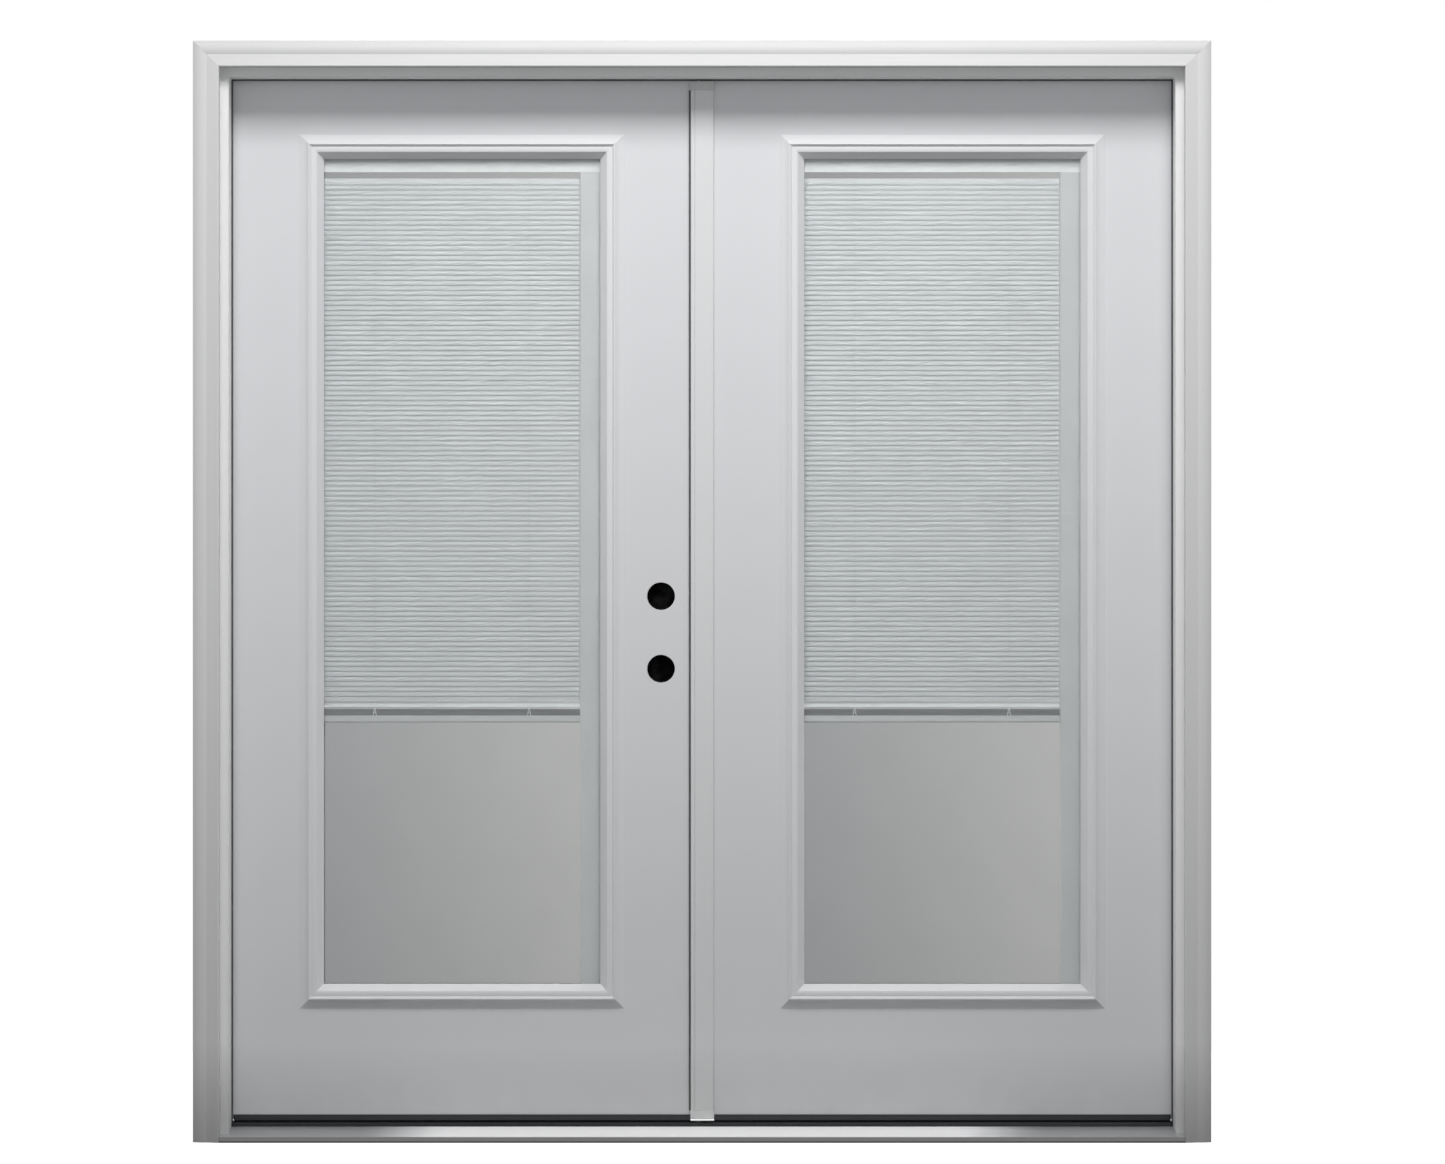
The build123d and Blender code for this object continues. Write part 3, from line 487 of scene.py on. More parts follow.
# painted highlight: the middle of the deck is pale, and not metal
painted_highlight = ranged(deck_light, ragged, HIGHLIGHT_REACH, (1.0, 0.0))
# painted shade along the nose of the deck
painted_nose_shade = ranged(deck_light, at["Z"], NOSE_HEIGHTS, (1.0, 0.0))
highlighted = tinted(deck_light, DECK_END_GREY, painted_highlight, colour)
lined = tinted(deck_light, highlighted, ranged(deck_light, lines, (0.35, 0.75), (0.0, 0.12)), SCRATCH_GREY)
nose_shaded = tinted(deck_light, lined, painted_nose_shade, NOSE_SHADE_GREY)
# painted shadow: nearly black where the nose meets the floor
painted_foot_shadow = ranged(deck_light, at["Z"], FOOT_HEIGHTS, (0.85, 0.0))
deck_light.links.new(tinted(deck_light, nose_shaded, painted_foot_shadow, FOOT_SHADOW_BLACK), out["Colour"])
deck_light.links.new(ranged(deck_light, lines, (0.3, 0.75), (0.45, 0.65)), out["Roughness"])
deck_light.links.new(lines, out["Height"])
highlight_and_nose_shade = calc(deck_light, "MAXIMUM", painted_highlight, painted_nose_shade)
deck_light.links.new(ranged(deck_light, highlight_and_nose_shade, (0.0, 1.0), (0.9, 0.0)), leave.inputs["Metal"])

sill_metal = make_finish("sill_metal", deck_light, (0.97, 0.972, 0.975), depth=0.0002, strength=0.25,
                         edge=0.0006, Specular_IOR_Level=0.15)
hinge_steel = make_finish("hinge_steel", brushed, (0.66, 0.65, 0.62), (500, 500, 14), depth=0.0001,
                          strength=0.22, edge=0.0004, Metallic=1.0)
bolt_steel = make_finish("bolt_steel", brushed, (0.68, 0.68, 0.67), (600, 600, 12), depth=0.0001,
                         strength=0.2, edge=0.0003, Metallic=1.0)
spacer_metal = make_finish("spacer_metal", brushed, (0.7, 0.71, 0.72), (40, 400, 40), depth=0.0001,
                           strength=0.15, Metallic=1.0)
wear(sill_metal, "sill_deck")
for hand in HANDS:
    plates = [f"{hand}_{level}_hinge_{plate}_plate" for level in LEVELS for plate in ("jamb", "leaf")]
    wear(hinge_steel, f"{hand}_hinge_pins", *plates)
    wear(spacer_metal, f"{hand}_pane_spacer")
wear(bolt_steel, "top_bolt", "bottom_bolt")

# %% [markdown]
# ## Vinyl, foam and board
# The sweep and the sill's cap are extruded black vinyl: die lines along the length and a chalky bloom of
# dust. The weatherstrips are skinned foam with fine pores, which cell noise gives. The board under the deck
# is a wood-fibre composite that only shows at the ends and below.

# %% Vinyl, foam and board
BLOOM_GREY, RUB_GREY, FIBRE_BROWN = (0.13, 0.135, 0.14, 1), (0.3, 0.3, 0.3, 1), (0.3, 0.22, 0.15, 1)
PORE_SCALE = 1100

vinyl, place, colour, out = open_group("extruded_vinyl")
die_lines = noise(vinyl, place, scale=1.0, detail=3.0, roughness=0.55)
bloom = noise(vinyl, place, scale=0.05, detail=5.0, roughness=0.65)
dusted = tinted(vinyl, colour, ranged(vinyl, bloom, (0.42, 0.72), (0.0, 0.2)), BLOOM_GREY)
vinyl.links.new(dusted, out["Colour"])
chalk = calc(vinyl, "ADD", die_lines, bloom)
vinyl.links.new(ranged(vinyl, chalk, (0.7, 1.3), (0.36, 0.6)), out["Roughness"])
vinyl.links.new(die_lines, out["Height"])

foam, place, colour, out = open_group("skinned_foam")
cells = add_node(foam, "ShaderNodeTexVoronoi", Scale=PORE_SCALE)
foam.links.new(place, cells.inputs["Vector"])
rubbed = noise(foam, place, scale=45.0, detail=4.0)
foam.links.new(tinted(foam, colour, ranged(foam, rubbed, (0.4, 0.75), (0.0, 0.2)), RUB_GREY), out["Colour"])
foam.links.new(ranged(foam, rubbed, (0.3, 0.7), (0.62, 0.82)), out["Roughness"])
foam.links.new(ranged(foam, cells.outputs["Distance"], (0.0, 0.45), (0.0, 1.0)), out["Height"])

board, place, colour, out = open_group("fibre_board")
fibres = noise(board, place, scale=1.0, detail=6.0, roughness=0.68)
mottled = tinted(board, colour, ranged(board, fibres, (0.35, 0.7), (0.0, 0.7)), FIBRE_BROWN)
board.links.new(mottled, out["Colour"])
board.links.new(ranged(board, fibres, (0.3, 0.7), (0.7, 0.9)), out["Roughness"])
board.links.new(fibres, out["Height"])

DRAWN = {"depth": 0.0002, "strength": 0.3}
sweep_vinyl = make_finish("sweep_vinyl", vinyl, (0.016, 0.019, 0.023), (4, 900, 900), edge=0.0004, **DRAWN)
cap_vinyl = make_finish("cap_vinyl", vinyl, (0.012, 0.014, 0.016), (4, 800, 800), edge=0.0006, **DRAWN)
seal_foam = make_finish("seal_foam", foam, (0.08, 0.08, 0.085), depth=0.0004, strength=0.4, edge=0.001)
boot_foam = make_finish("boot_foam", foam, (0.66, 0.67, 0.67), depth=0.0004, strength=0.3, edge=0.001)
sill_board = make_finish("sill_board", board, (0.2, 0.15, 0.1), (60, 300, 300), depth=0.0004, strength=0.4)
wear(sweep_vinyl, "active_sweep", "passive_sweep")
wear(cap_vinyl, "sill_cap")
wear(seal_foam, "left_weatherstrip", "right_weatherstrip", "head_weatherstrip", "corner_pads")
wear(seal_foam, "astragal_seal")
wear(boot_foam, "astragal_boots")
wear(sill_board, "sill_substrate")

# %% [markdown]
# ## The blind's enamel and cord
# Blind slats are coil-coated aluminium: a thin baked enamel, cool white and quite dull, with faint rolling
# marks along the slat. Rails wear the same enamel; the headrail's copy is brighter, which is painted light,
# as it hangs in the shade of the lite frame. The gathered slats get a dark grey, which is painted shade
# between slats packed so close. Cords are braided, and a pair of crossed waves gives the braid its little
# diamonds. The thin ladder strings are greyer than the thick let-out ends, because so little of them catches
# the light.

# %% Enamel and cord
PATCH_GREY, BRAID_GREY = (0.62, 0.66, 0.65, 1), (0.5, 0.5, 0.48, 1)
BRAID_SLANT, BRAID_SCALE = 0.7, 900

enamel, place, colour, out = open_group("baked_enamel")
rolled = noise(enamel, place, scale=1.0, detail=3.0, roughness=0.55)
patch = noise(enamel, place, scale=0.02, detail=3.0)
patched = tinted(enamel, colour, ranged(enamel, patch, (0.35, 0.7), (0.0, 0.05)), PATCH_GREY)
enamel.links.new(patched, out["Colour"])
enamel.links.new(ranged(enamel, rolled, (0.3, 0.7), (0.32, 0.44)), out["Roughness"])
enamel.links.new(rolled, out["Height"])

braid, place, colour, out = open_group("braided_cord")
strands = []
for slant in (BRAID_SLANT, -BRAID_SLANT):
    turn = add_node(braid, "ShaderNodeMapping", Rotation=(0, slant, 0), Scale=(BRAID_SCALE,) * 3)
    stripe = add_node(braid, "ShaderNodeTexWave", Scale=0.35, Distortion=0.4)
    braid.links.new(place, turn.inputs["Vector"])
    braid.links.new(turn.outputs["Vector"], stripe.inputs["Vector"])
    strands.append(stripe.outputs["Fac"])
weave = calc(braid, "MULTIPLY", *strands)
woven = tinted(braid, colour, ranged(braid, weave, (0.0, 0.5), (0.25, 0.0)), BRAID_GREY)
braid.links.new(woven, out["Colour"])
braid.links.new(ranged(braid, weave, (0.0, 1.0), (0.85, 0.7)), out["Roughness"])
braid.links.new(weave, out["Height"])

DULL = {"dull": 0.28, "Specular_IOR_Level": 0.3}
SLAT_WHITE, RAIL_WHITE = (0.6, 0.609, 0.615), (0.6, 0.607, 0.61)
# the headrail's brighter white is painted light
HEADRAIL_LIT_WHITE, STACK_SHADE_GREY = (0.8, 0.81, 0.81), (0.3, 0.305, 0.305)
RAIL_ROLLED = {"stretch": (6, 500, 500), "depth": 0.0001, "strength": 0.2, "edge": 0.0004}
slat_enamel = make_finish("slat_enamel", enamel, SLAT_WHITE, (6, 700, 700), depth=0.00008, strength=0.2,
                          **DULL)
rail_enamel = make_finish("rail_enamel", enamel, RAIL_WHITE, **RAIL_ROLLED, **DULL)
headrail_lit_enamel = make_finish("headrail_lit_enamel", enamel, HEADRAIL_LIT_WHITE, **RAIL_ROLLED, **DULL)
# painted shade: the gathered slats' dark grey
stack_shade_enamel = make_finish("stack_shade_enamel", enamel, STACK_SHADE_GREY, (6, 900, 900), depth=0.0001, strength=0.3, **DULL)
ladder_cord = make_finish("ladder_cord", braid, (0.86, 0.86, 0.84), depth=0.0002, strength=0.5)
ladder_thread = make_finish("ladder_thread", braid, (0.52, 0.53, 0.535), depth=0.0001, strength=0.4)
slider_plastic = make_finish("slider_plastic", spray, (0.84, 0.84, 0.84), depth=0.0002, strength=0.15,
                             edge=0.0004)
for hand in HANDS:
    wear(headrail_lit_enamel, f"{hand}_blind_headrail")
    wear(rail_enamel, f"{hand}_blind_side_rail", f"{hand}_blind_bottom_rail")
    wear(slat_enamel, f"{hand}_blind_slats")
    wear(stack_shade_enamel, f"{hand}_blind_stack")
    wear(ladder_cord, f"{hand}_blind_cords")
    wear(slider_plastic, f"{hand}_blind_slider")

# %% [markdown]
# ## Helpers for modelling
# From here on we add pieces the way one does by hand: start from a primitive, select faces or edges, and
# shape them with operators. In a script the selecting is done by place or normal, so one helper does only
# that. Another settles a finished piece: its place goes into its mesh, so that every finish lies where it
# should.


# %% Modelling helpers
def only(piece):
    """Select this piece alone and make it active."""
    bpy.ops.object.select_all(action="DESELECT")
    piece.select_set(True)
    bpy.context.view_layer.objects.active = piece


def pick(kind, test):
    """In edit mode, select what passes a test of its middle and of its normal or, for an edge, its run."""
    bpy.ops.mesh.select_mode(type=kind)
    bpy.ops.mesh.select_all(action="DESELECT")
    mesh = bmesh.from_edit_mesh(bpy.context.object.data)
    if kind == "FACE":
        chosen = [f for f in mesh.faces if test(f.calc_center_median(), f.normal)]
    elif kind == "EDGE":
        ends = [(e, e.verts[0].co, e.verts[1].co) for e in mesh.edges]
        chosen = [e for e, start, end in ends if test((start + end) / 2, end - start)]
    else:
        chosen = [v for v in mesh.verts if test(v.co, v.normal)]
    for item in chosen:
        item.select_set(True)
    mesh.select_flush_mode()
    bmesh.update_edit_mesh(bpy.context.object.data)


def settle(piece, name, finish):
    """Write the piece's place into its mesh and give it its name and finish."""
    only(piece)
    bpy.ops.object.transform_apply(location=True, rotation=True, scale=True)
    piece.name = piece.data.name = name
    if finish:
        piece.data.materials.clear()
        piece.data.materials.append(finish)
    return piece


def copy_to(piece, offset, name, turn=(0, 0, 0)):
    """A copy with its own mesh, turned and moved; both are written into that mesh."""
    twin = piece.copy()
    twin.data = piece.data.copy()
    bpy.context.scene.collection.objects.link(twin)
    twin.location = offset
    twin.rotation_euler = turn
    only(twin)
    bpy.ops.object.transform_apply(location=True, rotation=True, scale=True)
    twin.name = twin.data.name = name
    return twin


def join(pieces):
    """Join pieces into the first of them."""
    only(pieces[0])
    for piece in pieces[1:]:
        piece.select_set(True)
    bpy.ops.object.join()
    return pieces[0]


def apply_all(piece):
    """Apply every modifier of a piece, in order."""
    only(piece)
    for modifier in list(piece.modifiers):
        bpy.ops.object.modifier_apply(modifier=modifier.name)


# %% [markdown]
# ## One slat
# A slat is a strip of aluminium half an inch wide and as thin as paper, with a slight crown that keeps it
# stiff. A flat box would catch the light as one flat line, so we crown it: a plane is cut across its width
# into six strips, and each inner row of vertices is lifted along a parabola. Solidify then gives the sheet
# its thickness.

# %% One slat
SLAT_WIDTH, SLAT_CROWN, SLAT_GAUGE, SLAT_TILT, SLAT_PITCH = 0.0125, 0.0008, 0.00024, 75.0, 0.00965
SLAT_COUNT, SLAT_STRIPS, SLAT_TRIM = 105, 6, 0.001
slats_low, slats_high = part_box("active_blind_slats")
SLAT_LENGTH = slats_high.x - slats_low.x
BLIND_Y = (slats_low.y + slats_high.y) / 2

bpy.ops.object.select_all(action="DESELECT")
bpy.ops.mesh.primitive_plane_add(size=1)
slat = bpy.context.object
slat.scale = (SLAT_LENGTH - SLAT_TRIM, SLAT_WIDTH, 1)
bpy.ops.object.transform_apply(scale=True)
bpy.ops.object.mode_set(mode="EDIT")
pick("EDGE", lambda middle, run: abs(run.y) > abs(run.x))
bpy.ops.mesh.subdivide(number_cuts=SLAT_STRIPS - 1)
half_strips = SLAT_STRIPS // 2
for row in range(1 - half_strips, half_strips):
    across = row / half_strips
    pick("VERT", lambda at, _: abs(at.y - across * SLAT_WIDTH / 2) < SLAT_WIDTH / 30)
    bpy.ops.transform.translate(value=(0, 0, SLAT_CROWN * (1 - across * across)))
bpy.ops.object.mode_set(mode="OBJECT")
gauge = slat.modifiers.new("gauge", "SOLIDIFY")
gauge.thickness = SLAT_GAUGE
gauge.offset = -1
apply_all(slat)
bpy.ops.object.shade_smooth_by_angle(angle=math.radians(40))
settle(slat, "slat_pattern", slat_enamel)
print("slat:", len(slat.data.polygons), "faces,", round(SLAT_LENGTH, 4), "m long")

# %% [markdown]
# ## A rung of the blind
# Slats hang in two string ladders. One string runs down the front, one down the back, and a thin rung under
# each slat joins them. One slat with its bit of ladder is the blind's repeating unit, so we build that once.
# Each string starts as a six-sided tube, and its middle ring is swollen into the small knot where the rung is
# tied.

# %% One unit of slat and ladder
CORD_INSET, CORD_OFFSET, CORD_RADIUS, KNOT_SWELL = 0.098, 0.0038, 0.00022, 1.35
RUNG_LENGTH, RUNG_PLACE = 0.0125, (0.0007, -0.0003)


def tube(radius, length, place, turn=(0, 0, 0), sides=6, finish=ladder_cord):
    """An open tube with a swollen ring in the middle."""
    bpy.ops.object.select_all(action="DESELECT")
    bpy.ops.mesh.primitive_cylinder_add(
        vertices=sides, radius=radius, depth=length, end_fill_type="NOTHING", location=place, rotation=turn
    )
    piece = bpy.context.object
    bpy.ops.object.mode_set(mode="EDIT")
    pick("EDGE", lambda middle, run: abs(run.z) > length / 2)
    bpy.ops.mesh.subdivide(number_cuts=1)
    pick("VERT", lambda at, _: abs(at.z) < length / 4)
    bpy.ops.transform.resize(value=(KNOT_SWELL, KNOT_SWELL, 1))
    bpy.ops.object.mode_set(mode="OBJECT")
    bpy.ops.object.shade_smooth()
    return settle(piece, "ladder_bit", finish)


unit = copy_to(slat, (0, 0, 0), "blind_unit", turn=(math.radians(SLAT_TILT), 0, 0))
ladder = []
for x in (CORD_INSET - SLAT_LENGTH / 2, SLAT_LENGTH / 2 - CORD_INSET):
    for side in (-1, 1):
        ladder.append(tube(CORD_RADIUS, SLAT_PITCH, (x, side * CORD_OFFSET, 0), finish=ladder_thread))
    lean = (math.radians(SLAT_TILT - 90), 0, 0)
    ladder.append(tube(CORD_RADIUS, RUNG_LENGTH, (x, *RUNG_PLACE), lean, finish=ladder_thread))
join([unit, *ladder])
print("unit:", len(unit.data.polygons), "faces")

# %% [markdown]
# ## Hanging the blind
# A hundred and five units hang between the headrail and the gathered stack, a little low, so that a thin gap
# shows under the headrail. The last slat has sunk towards the stack and lies flatter, so it catches the
# light as one bright line. To turn it alone we pick its lower edge, and Select Linked finds the rest. When
# the blind is drawn up, its slats close like an accordion: those near the headrail hardly move, and those
# near the stack travel with it. So the blind is cut into fifteen groups of seven. For each group an end place
# is worked out on an S-curve, chosen to give the group the straight-line share of its height, but nothing
# uses it, and the groups are not tied to the leaf or the foot.

# %% Hanging slats
GROUP_SIZE, SLAT_DROP = 7, 0.0026
LAST_TURN, LAST_DROP, LAST_DEPTH, LAST_EDGE = math.radians(38), 0.004, 0.003, SLAT_PITCH * 0.45
GROUP_COUNT = SLAT_COUNT // GROUP_SIZE
HANG_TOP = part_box("active_blind_headrail")[0].z
HANG_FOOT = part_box("active_blind_stack")[1].z
HANG = HANG_TOP - HANG_FOOT
SPARE_HEIGHT = slats_high.z - slats_low.z - SLAT_PITCH * (SLAT_COUNT - 1)
FIRST_SLAT = slats_high.z - SPARE_HEIGHT / 2 - SLAT_DROP

row = unit.modifiers.new("row", "ARRAY")
row.count = GROUP_SIZE
row.use_relative_offset = False
row.use_constant_offset = True
row.constant_offset_displace = (0, 0, -SLAT_PITCH)
apply_all(unit)


def s_curve_place(share):
    """Where the S-curve 3u^2 - 2u^3 reaches a share."""
    low, high = 0.0, 1.0
    for _ in range(40):
        middle = (low + high) / 2
        if middle * middle * (3 - 2 * middle) < share:
            low = middle
        else:
            high = middle
    return low


def turn_last_slat(x, z):
    """Turn the slat at this height flatter and let it sink; the group that holds it is active."""
    bpy.ops.object.mode_set(mode="EDIT")
    pick("VERT", lambda at, _: at.z < z - LAST_EDGE and abs(at.y - BLIND_Y) < LAST_DEPTH)
    bpy.ops.mesh.select_linked()
    bpy.ops.transform.rotate(value=LAST_TURN, orient_axis="X", center_override=(x, BLIND_Y, z))
    bpy.ops.transform.translate(value=(0, 0, -LAST_DROP))
    bpy.ops.object.mode_set(mode="OBJECT")


for hand in HANDS:
    blind_low, blind_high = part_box(f"{hand}_blind_slats")
    blind_x = (blind_low.x + blind_high.x) / 2
    for number in range(GROUP_COUNT):
        top_slat = FIRST_SLAT - number * GROUP_SIZE * SLAT_PITCH
        group = copy_to(unit, (blind_x, BLIND_Y, top_slat), f"{hand}_slats_{number + 1:02d}")
        if number == GROUP_COUNT - 1:
            turn_last_slat(blind_x, top_slat - (GROUP_SIZE - 1) * SLAT_PITCH)
        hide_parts(f"{hand}_blind_slats", f"{hand}_blind_cords")
        middle = top_slat - (GROUP_SIZE - 1) / 2 * SLAT_PITCH
        along = s_curve_place((HANG_TOP - middle) / HANG)
        reach = 6 * along * (1 - along) * HANG
        end = (blind_x, BLIND_Y, middle + along * reach - reach)
        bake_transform(group)
bpy.data.objects.remove(unit)
print("hung", 2 * GROUP_COUNT, "groups of", GROUP_SIZE, "slats")

# %% [markdown]
# ## The gathered stack
# The blind is longer than it hangs now, so the spare slats lie on the bottom rail in a pile. A solid block
# would read as a second rail. Fifty-four slats a quarter of a millimetre apart, each pushed a hair out of
# line, give a finely ruled band, and their dark grey, which is painted shade, makes it dark. The ladders are
# let out in front of it and spread like a letter A: each leg is a tube whose foot, middle and head rings are
# pushed aside by less and less.

# %% Gathered slats and ladder ends
STACKED, SHIFT_X, SHIFT_Y = 54, 0.0004, 0.00022
LEG_RADIUS, LEG_SIDES, LEG_STAND, RING_REACH = 0.0006, 8, 0.0002, 0.001
LEG_SPREAD = {0.0: 0.0032, 0.5: 0.0019, 1.0: 0.0006}
BAR_RADIUS, BAR_LENGTH, BAR_SHARE = 0.0005, 0.005, 0.42

random.seed(7)
for hand in HANDS:
    pile_low, pile_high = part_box(f"{hand}_blind_stack")
    pile_x = (pile_low.x + pile_high.x) / 2
    height = pile_high.z - pile_low.z
    step = (height - SLAT_CROWN - SLAT_GAUGE) / STACKED
    pile = []
    for number in range(STACKED):
        shift = (random.uniform(-SHIFT_X, SHIFT_X), random.uniform(-SHIFT_Y, SHIFT_Y))
        base = pile_low.z + SLAT_GAUGE + step * number
        pile.append(copy_to(slat, (pile_x + shift[0], BLIND_Y + shift[1], base), "gathered_slat"))
    # painted shade: the stack is dark grey
    stack = settle(join(pile), f"{hand}_gathered_slats", stack_shade_enamel)
    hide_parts(f"{hand}_blind_stack")
    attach(stack, f"{hand}_blind_foot")
    front = pile_low.y - LEG_STAND
    for end, x in (("left", pile_low.x + CORD_INSET), ("right", pile_high.x - CORD_INSET)):
        legs = []
        for lean in (-1, 1):
            leg = tube(LEG_RADIUS, height, (x, front, pile_low.z + height / 2), sides=LEG_SIDES)
            only(leg)
            bpy.ops.object.mode_set(mode="EDIT")
            for share, spread in LEG_SPREAD.items():
                ring = pile_low.z + height * share
                pick("VERT", lambda at, _: abs(at.z - ring) < RING_REACH)
                bpy.ops.transform.translate(value=(lean * spread, 0, 0))
            bpy.ops.object.mode_set(mode="OBJECT")
            legs.append(leg)
        bar_place = (x, front, pile_low.z + height * BAR_SHARE)
        legs.append(tube(BAR_RADIUS, BAR_LENGTH, bar_place, (0, math.pi / 2, 0)))
        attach(settle(join(legs), f"{hand}_{end}_ladder_end", None), f"{hand}_blind_foot")
print("stack:", STACKED, "slats per leaf")

# %% [markdown]
# ## The operator on the indoor glass
# A magnet inside the pane follows this slider up and down. A plain block would give a thumb no hold, so its
# face has ribs. We bevel a cube, inset its indoor face, cut the inset field into strips and sink every other
# one. All four edges of a strip stay where they are; only the sunk faces move, so the outer size is that of
# the solid.

# %% Ribbed slider
RIB_STRIPS, RIB_DEPTH, RIB_EDGE, RIB_MARGIN, SLIDER_EDGE = 13, 0.0012, 0.0006, 0.0022, 0.0026
SLIDER_SEAT, RIB_REACH, FIELD_REACH, FIELD_RUN = 0.001, 0.004, 0.0097, 0.03
for hand in HANDS:
    block_low, block_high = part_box(f"{hand}_blind_slider")
    block_x = (block_low.x + block_high.x) / 2
    bpy.ops.object.select_all(action="DESELECT")
    bpy.ops.mesh.primitive_cube_add(
        size=1, location=(block_low + block_high) / 2, scale=block_high - block_low
    )
    slider = settle(bpy.context.object, f"{hand}_ribbed_slider", slider_plastic)
    bpy.ops.object.mode_set(mode="EDIT")
    pick("EDGE", lambda middle, run: middle.y > block_low.y + SLIDER_SEAT)
    bpy.ops.mesh.bevel(offset=SLIDER_EDGE, segments=3, profile=0.5, affect="EDGES")
    pick("FACE", lambda middle, normal: normal.y > 0.99)
    bpy.ops.mesh.inset(thickness=RIB_MARGIN, depth=0)
    pick("EDGE", lambda middle, run: middle.y > block_high.y - 1e-5 and abs(run.z) > FIELD_RUN
         and abs(middle.x - block_x) < FIELD_REACH)
    bpy.ops.mesh.subdivide(number_cuts=RIB_STRIPS - 1)
    strip = (block_high.z - block_low.z - 2 * SLIDER_EDGE - 2 * RIB_MARGIN) / RIB_STRIPS
    foot = block_low.z + SLIDER_EDGE + RIB_MARGIN
    pick("FACE", lambda middle, normal: normal.y > 0.99 and abs(middle.x - block_x) < RIB_REACH
         and int((middle.z - foot) / strip) % 2 == 1 and middle.z > foot)
    bpy.ops.mesh.inset(thickness=RIB_EDGE, depth=-RIB_DEPTH, use_individual=True)
    bpy.ops.object.mode_set(mode="OBJECT")
    bpy.ops.object.shade_smooth_by_angle(angle=math.radians(32))
    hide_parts(f"{hand}_blind_slider")
    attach(slider, f"{hand}_blind_operator")
    print(slider.name, len(slider.data.polygons), "faces")

# %% [markdown]
# ## Plugs in the two bores
# The leaf is bored for a handle and a bolt, and a cup sits in each bore near the indoor face. Its black is
# painted shade: it stands in for the dark inside an empty bore. A plug is a shallow cup: a short cylinder
# whose outdoor face is inset and pushed in twice, with a softened rim. It is what makes the bores read as
# black from outdoors.

# %% Bore plugs
BORE_X, BORE_LEVELS = -0.07935, {"bolt": 1.0414, "handle": 0.9017}
PLUG_RADIUS, PLUG_LENGTH, PLUG_Y, PLUG_SIDES, PLUG_EDGE = 0.0267, 0.008, 0.109, 48, 0.0007
CUP_STEPS = ((0.0022, 0), (0.0012, -0.0035), (0.012, 0.0008))
# painted shade: the plugs' black stands in for the dark inside an empty bore
bore_shade_black = make_finish("bore_shade_black", vinyl, (0.002, 0.002, 0.0022), (700, 700, 700), depth=0.0002,
                           strength=0.2, dull=0.3, Specular_IOR_Level=0.05)

bpy.ops.object.select_all(action="DESELECT")
bpy.ops.mesh.primitive_cylinder_add(
    vertices=PLUG_SIDES, radius=PLUG_RADIUS, depth=PLUG_LENGTH, rotation=(math.radians(90), 0, 0)
)
plug = settle(bpy.context.object, "plug_pattern", bore_shade_black)
bpy.ops.object.mode_set(mode="EDIT")
pick("EDGE", lambda middle, run: abs(middle.y) > PLUG_LENGTH * 0.44)
bpy.ops.mesh.bevel(offset=PLUG_EDGE, segments=2, affect="EDGES")
pick("FACE", lambda middle, normal: normal.y < -0.99)
for margin, rise in CUP_STEPS:
    bpy.ops.mesh.inset(thickness=margin, depth=rise)
bpy.ops.object.mode_set(mode="OBJECT")
bpy.ops.object.shade_smooth_by_angle(angle=math.radians(35))
for label, level in BORE_LEVELS.items():
    fitted = copy_to(plug, (BORE_X, PLUG_Y, level), f"{label}_bore_shade_plug")
    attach(fitted, "active_leaf")
bpy.data.objects.remove(plug)
print("plugs in", len(BORE_LEVELS), "bores")

# %% [markdown]
# ## Screws in the hinges
# Each hinge plate takes four countersunk screws. The head is a short cylinder with a softened rim, and a
# cross cut into it with a Boolean: two thin boxes are taken away. The pattern faces along the X axis; its
# twin is turned half round, because one plate looks to the middle of the door and the other away from it.

# %% Hinge screws
SCREW_RADIUS, SCREW_PROUD, SCREW_DEPTH, SCREW_SIDES, SCREW_EDGE = 0.0042, 0.0002, 0.0016, 20, 0.00015
RECESS_DEPTH, RECESS_WIDTH, RECESS_LENGTH = 0.0014, 0.001, 0.0048
JAMB_FACE, LEAF_FACE = 0.91695, 0.91375
SCREW_SPOTS = ((0.1035, 0.038), (0.09, 0.0135), (0.09, -0.0135), (0.1035, -0.038))


def screw_head(finish):
    """A cross-recessed head that stands just proud of x = 0 and looks along +X."""
    bpy.ops.object.select_all(action="DESELECT")
    bpy.ops.mesh.primitive_cylinder_add(
        vertices=SCREW_SIDES, radius=SCREW_RADIUS, depth=SCREW_DEPTH, rotation=(0, math.radians(90), 0),
        location=(SCREW_PROUD - SCREW_DEPTH / 2, 0, 0)
    )
    head = settle(bpy.context.object, "screw_pattern", finish)
    bpy.ops.object.mode_set(mode="EDIT")
    pick("EDGE", lambda middle, run: middle.x > SCREW_PROUD - 1e-5)
    bpy.ops.mesh.bevel(offset=SCREW_EDGE, segments=1, affect="EDGES")
    bpy.ops.object.mode_set(mode="OBJECT")
    bits = []
    for across, along in ((RECESS_WIDTH, RECESS_LENGTH), (RECESS_LENGTH, RECESS_WIDTH)):
        bpy.ops.object.select_all(action="DESELECT")
        bpy.ops.mesh.primitive_cube_add(
            size=1, location=(SCREW_PROUD, 0, 0), scale=(RECESS_DEPTH, across, along)
        )
        bits.append(bpy.context.object)
    for bit in bits:
        recess = head.modifiers.new("recess", "BOOLEAN")
        recess.operation, recess.object, recess.solver = "DIFFERENCE", bit, "EXACT"
    apply_all(head)
    for bit in bits:
        bpy.data.objects.remove(bit)
    only(head)
    bpy.ops.object.shade_smooth_by_angle(angle=math.radians(35))
    return head


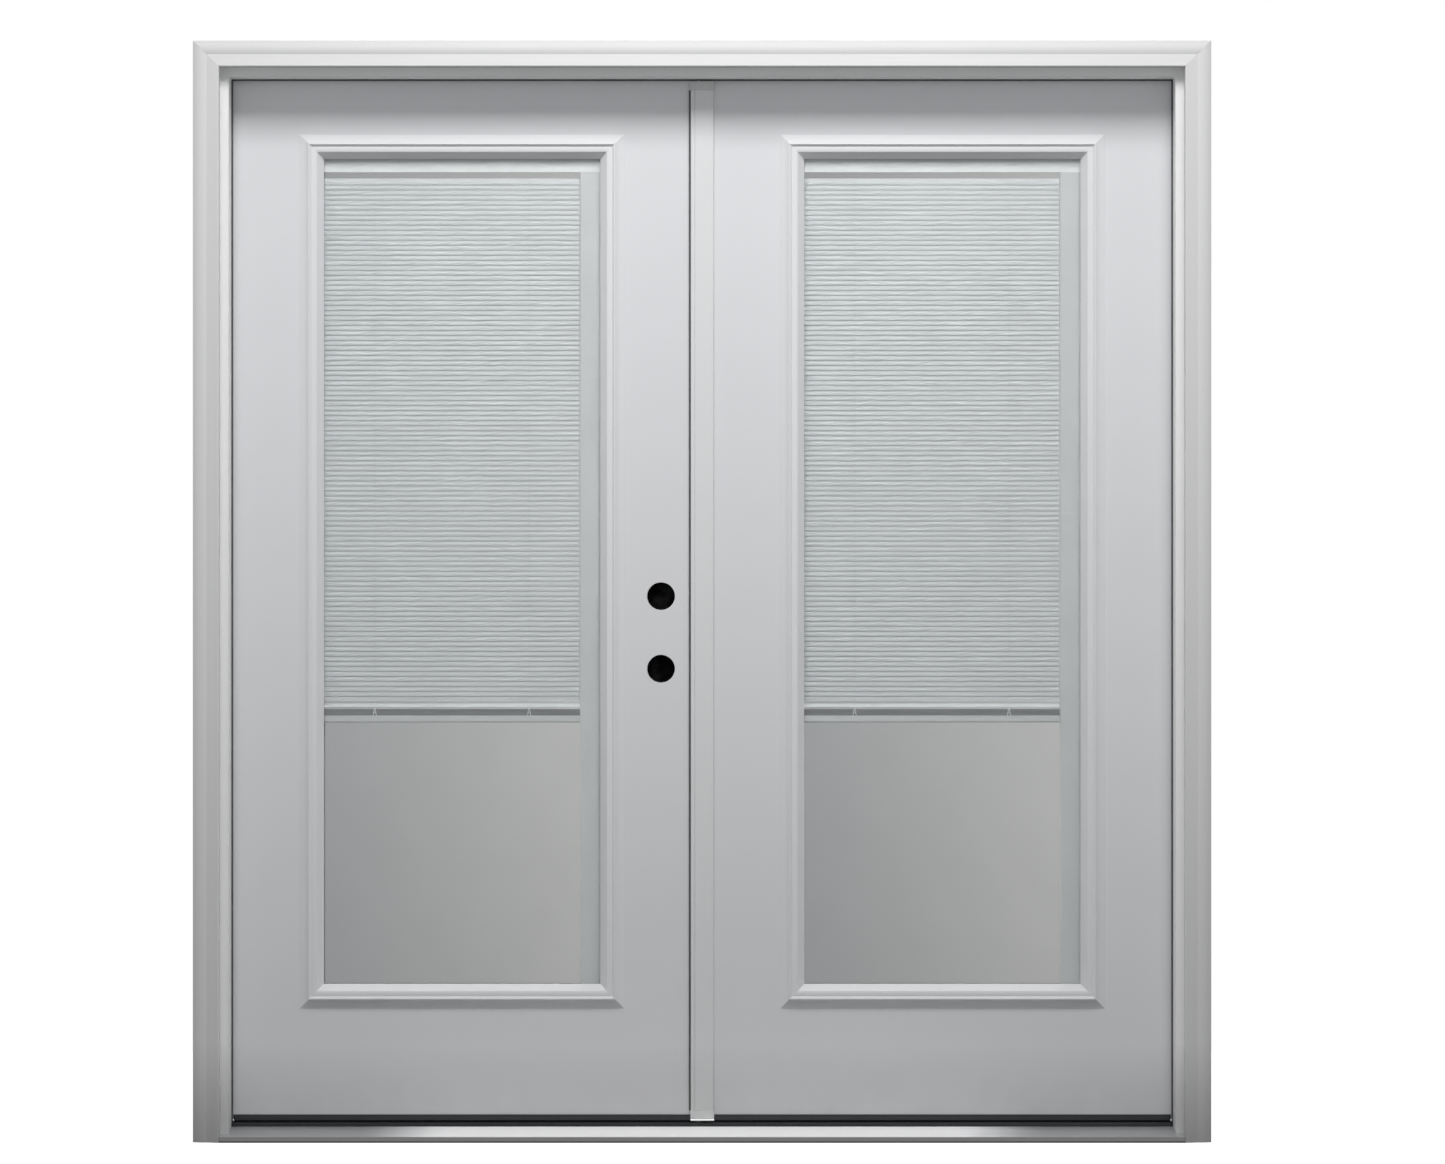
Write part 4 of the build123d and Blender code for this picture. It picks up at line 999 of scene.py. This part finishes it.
toward = screw_head(hinge_steel)
away = copy_to(toward, (0, 0, 0), "screw_twin", turn=(0, 0, math.pi))
for hand, side in HANDS.items():
    for level in LEVELS:
        height = sum(corner.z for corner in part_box(f"active_{level}_hinge_jamb_plate")) / 2
        for plate, looks in (("jamb", -side), ("leaf", side)):
            face = side * (JAMB_FACE if plate == "jamb" else LEAF_FACE)
            pattern = toward if looks > 0 else away
            row = [copy_to(pattern, (face, y, height + z), "screw") for y, z in SCREW_SPOTS]
            screws = settle(join(row), f"{hand}_{level}_{plate}_screws", None)
            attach(screws, "frame" if plate == "jamb" else f"{hand}_leaf")
for pattern in (toward, away):
    bpy.data.objects.remove(pattern)
print("screw sets:", 2 * len(HANDS) * len(LEVELS))

# %% [markdown]
# ## Plugs over the lite screws
# The indoor half of each lite frame is drawn to the outdoor half with screws, and a push-in plug hides every
# one. A plug is a small dome: a coarse half sphere, flattened, sunk so far into the bead that only its cap
# shows.

# %% Lite screw plugs
DOME_RADIUS, DOME_INSET, DOME_FLATNESS, DOME_SKIRT, DOME_SINK = 0.0042, 0.0278, 0.45, 0.0012, 0.0041
SIDE_SHARES, END_SHARES = (0.04, 0.27, 0.5, 0.73, 0.96), (0.25, 0.75)

bpy.ops.object.select_all(action="DESELECT")
bpy.ops.mesh.primitive_uv_sphere_add(segments=16, ring_count=8, radius=DOME_RADIUS)
dome = bpy.context.object
bpy.ops.object.mode_set(mode="EDIT")
pick("VERT", lambda at, _: at.z < -1e-5)
bpy.ops.mesh.delete(type="VERT")
pick("VERT", lambda at, _: True)
bpy.ops.transform.resize(value=(1, 1, DOME_FLATNESS))
pick("EDGE", lambda middle, run: middle.z < 1e-5)
bpy.ops.mesh.extrude_region_move(TRANSFORM_OT_translate={"value": (0, 0, -DOME_SKIRT)})
bpy.ops.mesh.edge_face_add()
bpy.ops.mesh.select_all(action="SELECT")
bpy.ops.mesh.normals_make_consistent(inside=False)
bpy.ops.object.mode_set(mode="OBJECT")
dome.rotation_euler = (math.radians(-90), 0, 0)
settle(dome, "dome_pattern", lite_paint)
bpy.ops.object.shade_smooth_by_angle(angle=math.radians(40))
for hand in HANDS:
    lite_low, lite_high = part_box(f"{hand}_lite_inner_frame")
    crest = lite_high.y - DOME_SINK
    left, right = lite_low.x + DOME_INSET, lite_high.x - DOME_INSET
    foot, top = lite_low.z + DOME_INSET, lite_high.z - DOME_INSET
    spots = [(x, foot + (top - foot) * share) for x in (left, right) for share in SIDE_SHARES]
    spots += [(left + (right - left) * share, z) for z in (foot, top) for share in END_SHARES]
    row = [copy_to(dome, (x, crest, z), "dome") for x, z in spots]
    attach(settle(join(row), f"{hand}_lite_plugs", None), f"{hand}_leaf")
    print(hand, "lite plugs:", len(spots))
bpy.data.objects.remove(dome)

# %% [markdown]
# ## Clearing the pattern pieces
# The single slat was only a pattern to copy from. It rides on nothing, so it goes now.

# %% Clear the pattern
bpy.data.objects.remove(slat)
